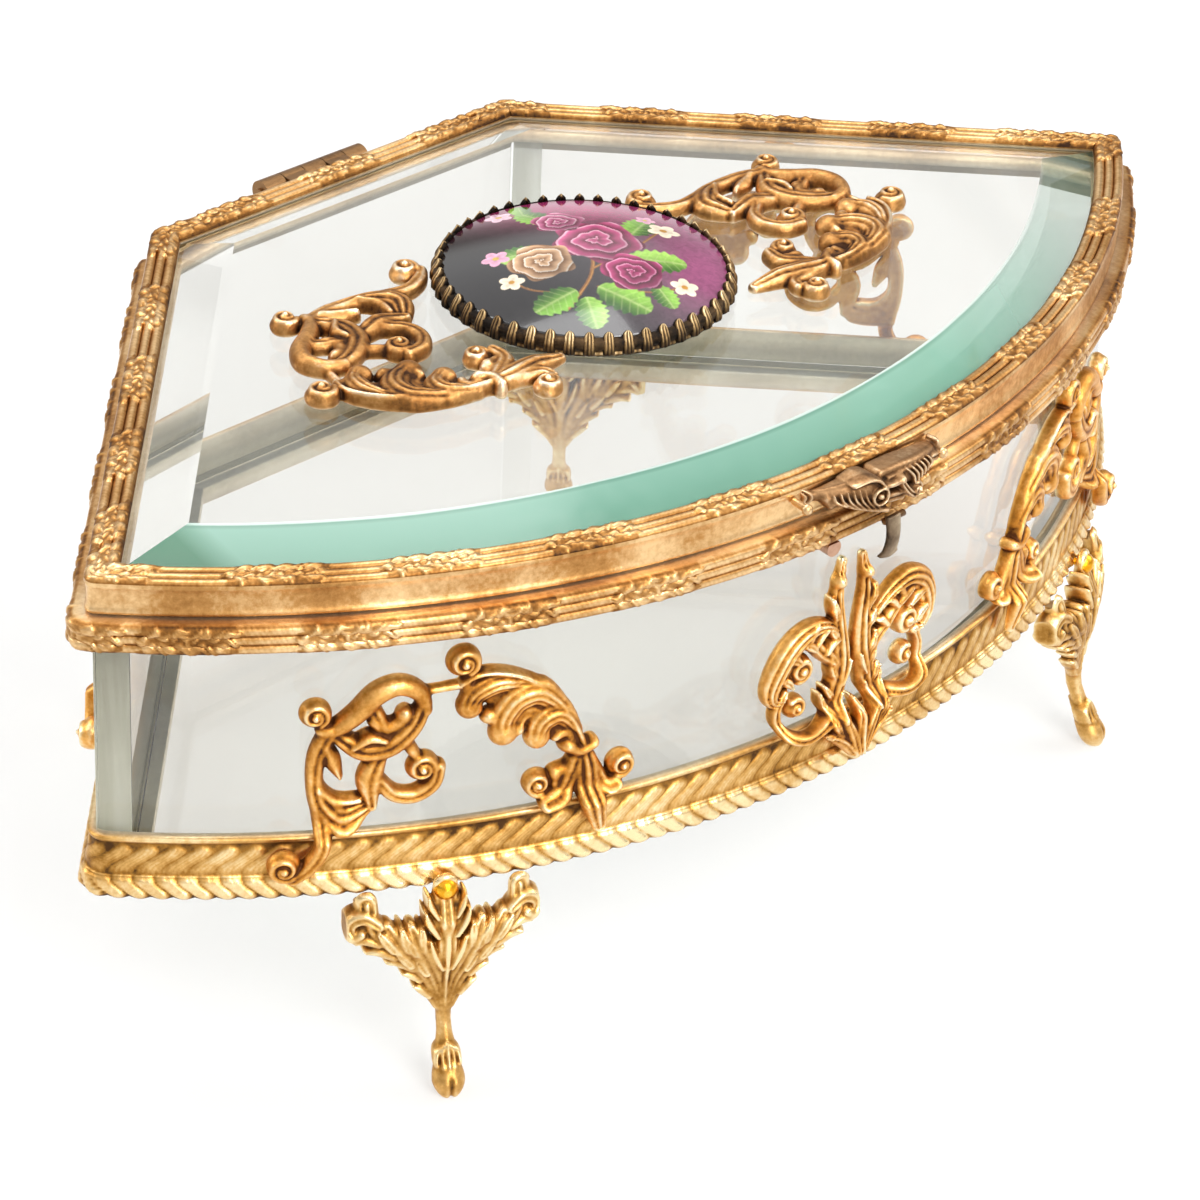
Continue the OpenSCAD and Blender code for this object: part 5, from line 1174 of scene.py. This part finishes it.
def paint(x, y):
    """Flower spray on a dark ground, in linear colour; x and y run from -1 to 1 over the plaque."""
    rgb = np.zeros(x.shape + (3,))

    def rgb_of(colour):
        return np.array(linear(colour)[:3])

    def lay(mask, colour):
        m = np.clip(mask, 0, 1)[..., None]
        rgb[:] = rgb * (1 - m) + (rgb_of(colour) if isinstance(colour, str) else colour) * m

    def fade(part, low, high):
        return rgb_of(low) * (1 - part) + rgb_of(high) * part

    def stem(points, wide, colour):
        p = spline(points, 8)
        d = np.full(x.shape, 9.0)
        for a, b in zip(p[:-1], p[1:]):
            e = b - a
            t = np.clip(((x - a[0]) * e[0] + (y - a[1]) * e[1]) / (e @ e), 0, 1)
            d = np.minimum(d, np.hypot(x - a[0] - t * e[0], y - a[1] - t * e[1]))
        lay((wide - d) / 0.012, colour)

    def leaf(cx, cy, angle, size, dark, light):
        a = math.radians(angle)
        lx = ((x - cx) * math.cos(a) + (y - cy) * math.sin(a)) / size
        ly = (-(x - cx) * math.sin(a) + (y - cy) * math.cos(a)) / size
        edge = 0.36 * np.sqrt(np.clip(1 - (2 * lx - 1) ** 2, 0, 1)) * (1 + 0.1 * np.sin(lx * 40)) - np.abs(ly)
        vein = np.exp(-(ly / 0.03) ** 2) + 0.5 * np.exp(-((np.abs(ly) - (lx * 4 % 0.6) * 0.5) / 0.03) ** 2)
        vein = 0.3 * np.clip(vein, 0, 1)[..., None]
        colour = fade(smoother((ly + 0.3) / 0.6)[..., None], dark, light)
        colour = colour * (1 - vein) + rgb_of("#dfe8a0") * vein
        lay(np.clip(edge / 0.05, 0, 1) * ((lx > 0) & (lx < 1)), colour)

    def rose(cx, cy, size, deep, mid, pale, seed):
        dx, dy = (x - cx) / size, (y - cy) / size
        d, a = np.hypot(dx, dy), np.arctan2(dy, dx)
        outline = 0.92 + 0.09 * np.cos(5 * a + seed) + 0.03 * np.cos(9 * a + seed * 2)
        coil = d * 3.2 - a / (2 * math.pi) + 0.16 * np.sin(3 * a + seed) + 0.1 * np.sin(7 * a - seed)
        fold = coil - np.floor(coil)
        edge = np.exp(-((fold - 0.93) / 0.09) ** 2)[..., None]
        colour = fade(smoother(fold * 1.15)[..., None], deep, mid) * (1 - edge) + rgb_of(pale) * edge
        glow = np.clip(0.75 + 0.45 * (dy - dx) * 0.6, 0.45, 1.3)[..., None]
        lay(np.clip((outline - d) / 0.04, 0, 1), colour * glow)

    def small(cx, cy, size, petal, heart, seed):
        dx, dy = (x - cx) / size, (y - cy) / size
        d = np.hypot(dx, dy)
        lobes = 0.62 + 0.34 * np.abs(np.cos(2.5 * np.arctan2(dy, dx) + seed))
        lay((lobes - d) / 0.06, rgb_of(petal) * np.clip(1.1 - 0.5 * (lobes - d), 0.6, 1.1)[..., None])
        lay((0.24 - d) / 0.05, heart)

    u = np.clip((x * 0.75 + y * 0.5) * 0.5 + 0.5, 0, 1)
    lay(np.ones_like(x), "#171315")
    lay(smoother((u - 0.15) / 0.6), "#4a4448")
    lay(smoother((u - 0.55) / 0.5) * 0.9, "#93486f")
    lay(np.exp(-(((x + 0.1) / 0.7) ** 2 + ((y - 0.75) / 0.32) ** 2)) * 0.9, "#b2256a")
    lay(np.exp(-(((x - 0.8) / 0.35) ** 2 + ((y + 0.1) / 0.5) ** 2)) * 0.8, "#a0527c")
    for points, wide in (([(-0.1, -0.75), (0.05, -0.35), (0.0, 0.1), (-0.3, 0.5), (-0.62, 0.62)], 0.018),
                         ([(0.05, -0.3), (0.35, 0.05), (0.55, 0.45)], 0.016),
                         ([(0, -0.1), (-0.35, 0.02), (-0.62, -0.1)], 0.014),
                         ([(0.1, -0.5), (0.45, -0.5), (0.72, -0.35)], 0.014),
                         ([(-0.02, -0.6), (-0.35, -0.55), (-0.5, -0.42)], 0.012)):
        stem(points, wide, "#8a5a2a")
        stem([(px + 0.006, py + 0.006) for px, py in points], wide * 0.4, "#c9924e")
    for cx, cy, angle, size, dark, light in (
            (0.1, -0.5, -28, 0.42, "#2f5a1c", "#8fc24a"), (0.3, -0.12, 8, 0.42, "#3a6a22", "#a3d25a"),
            (-0.05, -0.55, -140, 0.36, "#2c5419", "#7fb540"), (-0.25, 0.4, 135, 0.34, "#35621f", "#93c751"),
            (0.32, 0.25, 70, 0.36, "#2f5a1c", "#86ba46"), (-0.3, -0.05, 196, 0.34, "#3f7026", "#a6d45f"),
            (0.02, -0.62, -75, 0.32, "#3a6a22", "#9acb55"), (0.5, -0.4, -60, 0.26, "#2f5a1c", "#8fc24a"),
            (-0.45, 0.6, 100, 0.24, "#3a6a22", "#9acb55")):
        leaf(cx, cy, angle, size, dark, light)
    rose(0.08, 0.12, 0.34, "#7a1240", "#d4528a", "#f7b9cf", 0.4)
    rose(-0.3, -0.2, 0.25, "#8a5a2a", "#e8b98c", "#fff0dc", 1.9)
    rose(0.34, -0.28, 0.24, "#6a1038", "#b93a74", "#f09cc0", 3.1)
    rose(-0.2, 0.42, 0.2, "#8c2350", "#e07aa6", "#fbd3df", 4.4)
    for cx, cy, size, petal, heart, seed in (
            (0.55, 0.42, 0.13, "#f4e3c8", "#b8842a", 0.3), (-0.62, 0.6, 0.11, "#f0c6d6", "#c99a3a", 1.2),
            (0.7, -0.36, 0.11, "#f4e3c8", "#b8842a", 2.0), (-0.62, -0.12, 0.11, "#e9a9c4", "#d6b04a", 0.9),
            (-0.5, -0.44, 0.1, "#f4e3c8", "#b8842a", 2.7), (0.42, 0.58, 0.08, "#e9a9c4", "#d6b04a", 0.1)):
        small(cx, cy, size, petal, heart, seed)
    return rgb


def plaque():
    """Domed disc, painted on top and plain underneath."""
    n = PLAQUE_COUNT
    edge_r = BEZEL_R - 1.6
    dome = (edge_r ** 2 + PLAQUE_RISE ** 2) / (2 * PLAQUE_RISE)
    g = np.linspace(-1, 1, n)
    gx, gy = np.meshgrid(g, g, indexing="ij")
    dx = gx * np.sqrt(1 - gy ** 2 / 2)
    dy = gy * np.sqrt(1 - gx ** 2 / 2)
    z = PLAQUE_EDGE + PLAQUE_RISE - dome + np.sqrt(dome ** 2 - (np.hypot(dx, dy) * edge_r) ** 2)
    v = on_medallion(dx * edge_r, dy * edge_r, z).reshape(-1, 3)
    f = grid_faces(n, n).reshape(n, n, 4)[:-1, :-1].reshape(-1, 4)
    ring = edge_of(n, n)[::-1]
    base, m = len(v), len(ring)
    side = [(ring[(q + 1) % m], ring[q], base + q, base + (q + 1) % m) for q in range(m)]
    verts = np.concatenate([v, np.c_[v[ring, :2], np.full(m, SEAT_Z + PLAQUE_FOOT)]])
    ob = make("painted_plaque", verts, f.tolist() + side + [tuple(range(base, base + m))], PAINT)
    rgb = np.ones((len(verts), 4))
    rgb[:, :3] = (0.72, 0.70, 0.66)
    c, s = math.cos(PLAQUE_TURN), math.sin(PLAQUE_TURN)
    px, py = dx * c + dy * s, -dx * s + dy * c
    rgb[:base, :3] = paint(px, py).reshape(-1, 3)
    layer = ob.data.color_attributes.new("paint", "FLOAT_COLOR", "POINT")
    layer.data.foreach_set("color", rgb.astype(np.float32).ravel())
    return ob


belongs(plaque(), "lid", "painted_porcelain", "medallion_plaque")


# ---------------------------------------------------------------- glass
GROUND_EDGE = 0.3
FIT = 0.1
ARC_COUNT = 160
END_COUNT = 8  # points of the curved end of a side pane
BOTTOM_T = 4


def wall_faces(n, low):
    """Quads between ring number low of n points and the next one."""
    return [(low + i, low + (i + 1) % n, low + n + (i + 1) % n, low + n + i) for i in range(n)]


def prism(name, outline, z0, z1, node, ends=()):
    """Pane with ground edges; with ends, its top, its bottom and those side faces are frosted."""
    p = np.asarray(outline, float)
    n = len(p)
    faces = [tuple(range(n)), tuple(range(n, 2 * n))] + wall_faces(n, 0)
    ob = make(name, np.concatenate([np.c_[p, np.full(n, z)] for z in (z0, z1)]), faces, [GLASS, GROUND])
    ground = [set(faces[k]) for k in (0, 1, *(2 + i for i in ends))] if ends else []
    for poly in ob.data.polygons:
        poly.material_index = int(set(poly.vertices) in ground)
    mod = ob.modifiers.new("ground_edge", "BEVEL")
    mod.width = GROUND_EDGE * 0.001
    mod.segments = 2
    mod.limit_method = "ANGLE"
    mod.angle_limit = math.radians(35)
    ob.data.set_sharp_from_angle(angle=math.radians(20))
    belongs(ob, "box", "clear_glass", node)


def fan_outline(o):
    th = arc_angle(front_corner(o))
    arc = on_arc(np.linspace(-th, th, ARC_COUNT), ARC_R + o)
    return np.concatenate([arc, [back_corner(o), back_corner(o) * MIRROR]])


def side_at(o, y):
    p = back_corner(o)
    return p + SIDE_DIR * ((y - p[1]) / SIDE_DIR[1])


pane_in = ARC_R - PANE_T
side_in = pane_in - FIT
a0, a1 = arc_angle(side_hit(0, ARC_R)), arc_angle(side_hit(0, pane_in))
b0, b1 = arc_angle(side_hit(0, side_in)), arc_angle(side_hit(-PANE_T, side_in))
front = np.concatenate([on_arc(np.linspace(-a0, a0, ARC_COUNT), ARC_R),
                        on_arc(np.linspace(a1, -a1, ARC_COUNT), pane_in)])
right = np.concatenate([[side_at(0, -PANE_T - FIT)], [side_at(-PANE_T, -PANE_T - FIT)],
                        on_arc(np.linspace(b1, b0, END_COUNT), side_in)])
back = np.array([back_corner(0), back_corner(-PANE_T)])
short_ends = [0, *range(2, END_COUNT + 1)]
prism("front_pane", front, LEDGE_Z, PANE_TOP, "front_glass", (ARC_COUNT - 1, 2 * ARC_COUNT - 1))
prism("right_pane", right, LEDGE_Z, PANE_TOP, "right_glass", short_ends)
prism("left_pane", right * MIRROR, LEDGE_Z, PANE_TOP, "left_glass", short_ends)
prism("back_pane", np.concatenate([back, back[::-1] * MIRROR]), LEDGE_Z, PANE_TOP, "back_glass", (0, 2))
prism("bottom_pane", fan_outline(-PANE_T - FIT), LEDGE_Z, LEDGE_Z + BOTTOM_T, "bottom_glass")

# lid glass: flat underneath, ground bevel all round, mint, a painted reflection, where the bevel follows the
# bowed front
rings = [(GLASS_EDGE, GLASS_Z), (GLASS_EDGE, LID_EDGE_Z), (GLASS_EDGE - BEVEL_W, CROWN_Z)]
n = len(fan_outline(0))
v = np.concatenate([np.c_[fan_outline(o), np.full(n, z)] for o, z in rings])
faces = [tuple(range(n)), tuple(range(2 * n, 3 * n))] + wall_faces(n, 0) + wall_faces(n, n)
kinds = [0, 0] + [2] * n + [1] * (ARC_COUNT - 1) + [0] * (n - ARC_COUNT + 1)
# tone 0 at the outer edge of the bevel and 1 at the crown, for the mint's painted reflection
lid = make("lid_pane", v, faces, [LID_GLASS, MINT, GROUND], np.repeat([0.0, 0.0, 1.0], n))
kind_of = {tuple(sorted(f)): kind for f, kind in zip(faces, kinds)}
for poly in lid.data.polygons:
    poly.material_index = kind_of[tuple(sorted(poly.vertices))]
lid.data.set_sharp_from_angle(angle=math.radians(8))
belongs(lid, "lid", "clear_glass", "lid_glass")


# ---------------------------------------------------------------- solids carried over from the CAD
for name, mat in (("lid_glass_retainer", STRIP), ("foot_rivets", RIVETS), ("hinge_body_leaf", HINGE),
                  ("hinge_lid_leaf", HINGE), ("hinge_pin", HINGE), ("clasp_pins", PINS), ("latch_nib", NIB)):
    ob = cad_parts[name]
    ob.data.materials.clear()
    ob.data.materials.append(mat)


# ---------------------------------------------------------------- floor, lights, camera, in metres
FLOOR_HALF = 6.0
h = FLOOR_HALF * 1000
corners = [(x * h, y * h - SHIFT_Y, 0) for x, y in ((-1, -1), (1, -1), (1, 1), (-1, 1))]
floor = make("floor", corners, [(0, 1, 2, 3)], white_floor("pale_floor"), smooth=False)
scene = bpy.context.scene
scene.world = studio("studio")


def link(name, data):
    ob = bpy.data.objects.new(name, data)
    scene.collection.objects.link(ob)
    return ob


for name, place, aim, size, power in (("key", (-0.2, -1.1, 0.95), (0, 0, 0.05), (0.7, 0.7), 12),
                                      ("fill", (1.1, -0.5, 0.8), (0, 0, 0.05), (0.6, 0.9), 6),
                                      ("top", (0.1, 0.35, 1.3), (0, 0, 0.05), (1.0, 0.6), 7),
                                      ("low", (-0.35, -1.15, 0.3), (0, -0.03, 0.04), (0.5, 0.4), 2.6),
                                      ("rim", (-0.9, 0.7, 0.6), (0, 0, 0.06), (0.4, 0.7), 4)):
    data = bpy.data.lights.new(name, "AREA")
    data.shape = "RECTANGLE"
    data.size, data.size_y = size
    data.energy = power
    ob = link(name, data)
    ob.location = place
    ob.rotation_euler = (Vector(aim) - Vector(place)).to_track_quat("-Z", "Y").to_euler()

AZ, EL, ROLL = math.radians(-44.87), math.radians(32.28), math.radians(2.73)
DIST = 0.8178
TARGET = Vector((-0.0029, -0.0095, 0.0426))
FOCAL_PX = 4627.8
FRAME_PX = 1200
SENSOR = 36.0
LENS_SHIFT = (-0.0037, -0.0015)
to_eye = Vector((math.sin(AZ) * math.cos(EL), -math.cos(AZ) * math.cos(EL), math.sin(EL)))
right0 = (-to_eye).cross(Vector((0, 0, 1))).normalized()
up0 = right0.cross(-to_eye)
right1 = math.cos(ROLL) * right0 + math.sin(ROLL) * up0
up1 = -math.sin(ROLL) * right0 + math.cos(ROLL) * up0
data = bpy.data.cameras.new("camera")
data.sensor_width = SENSOR
data.lens = FOCAL_PX / FRAME_PX * SENSOR
data.shift_x, data.shift_y = LENS_SHIFT
data.clip_start = 0.01
data.clip_end = 50
cam = link("camera", data)
rows = [(*row, at) for row, at in zip(zip(right1, up1, to_eye), TARGET + to_eye * DIST)]
cam.matrix_world = Matrix(rows + [(0, 0, 0, 1)])
scene.camera = cam
scene.view_settings.view_transform = "Standard"
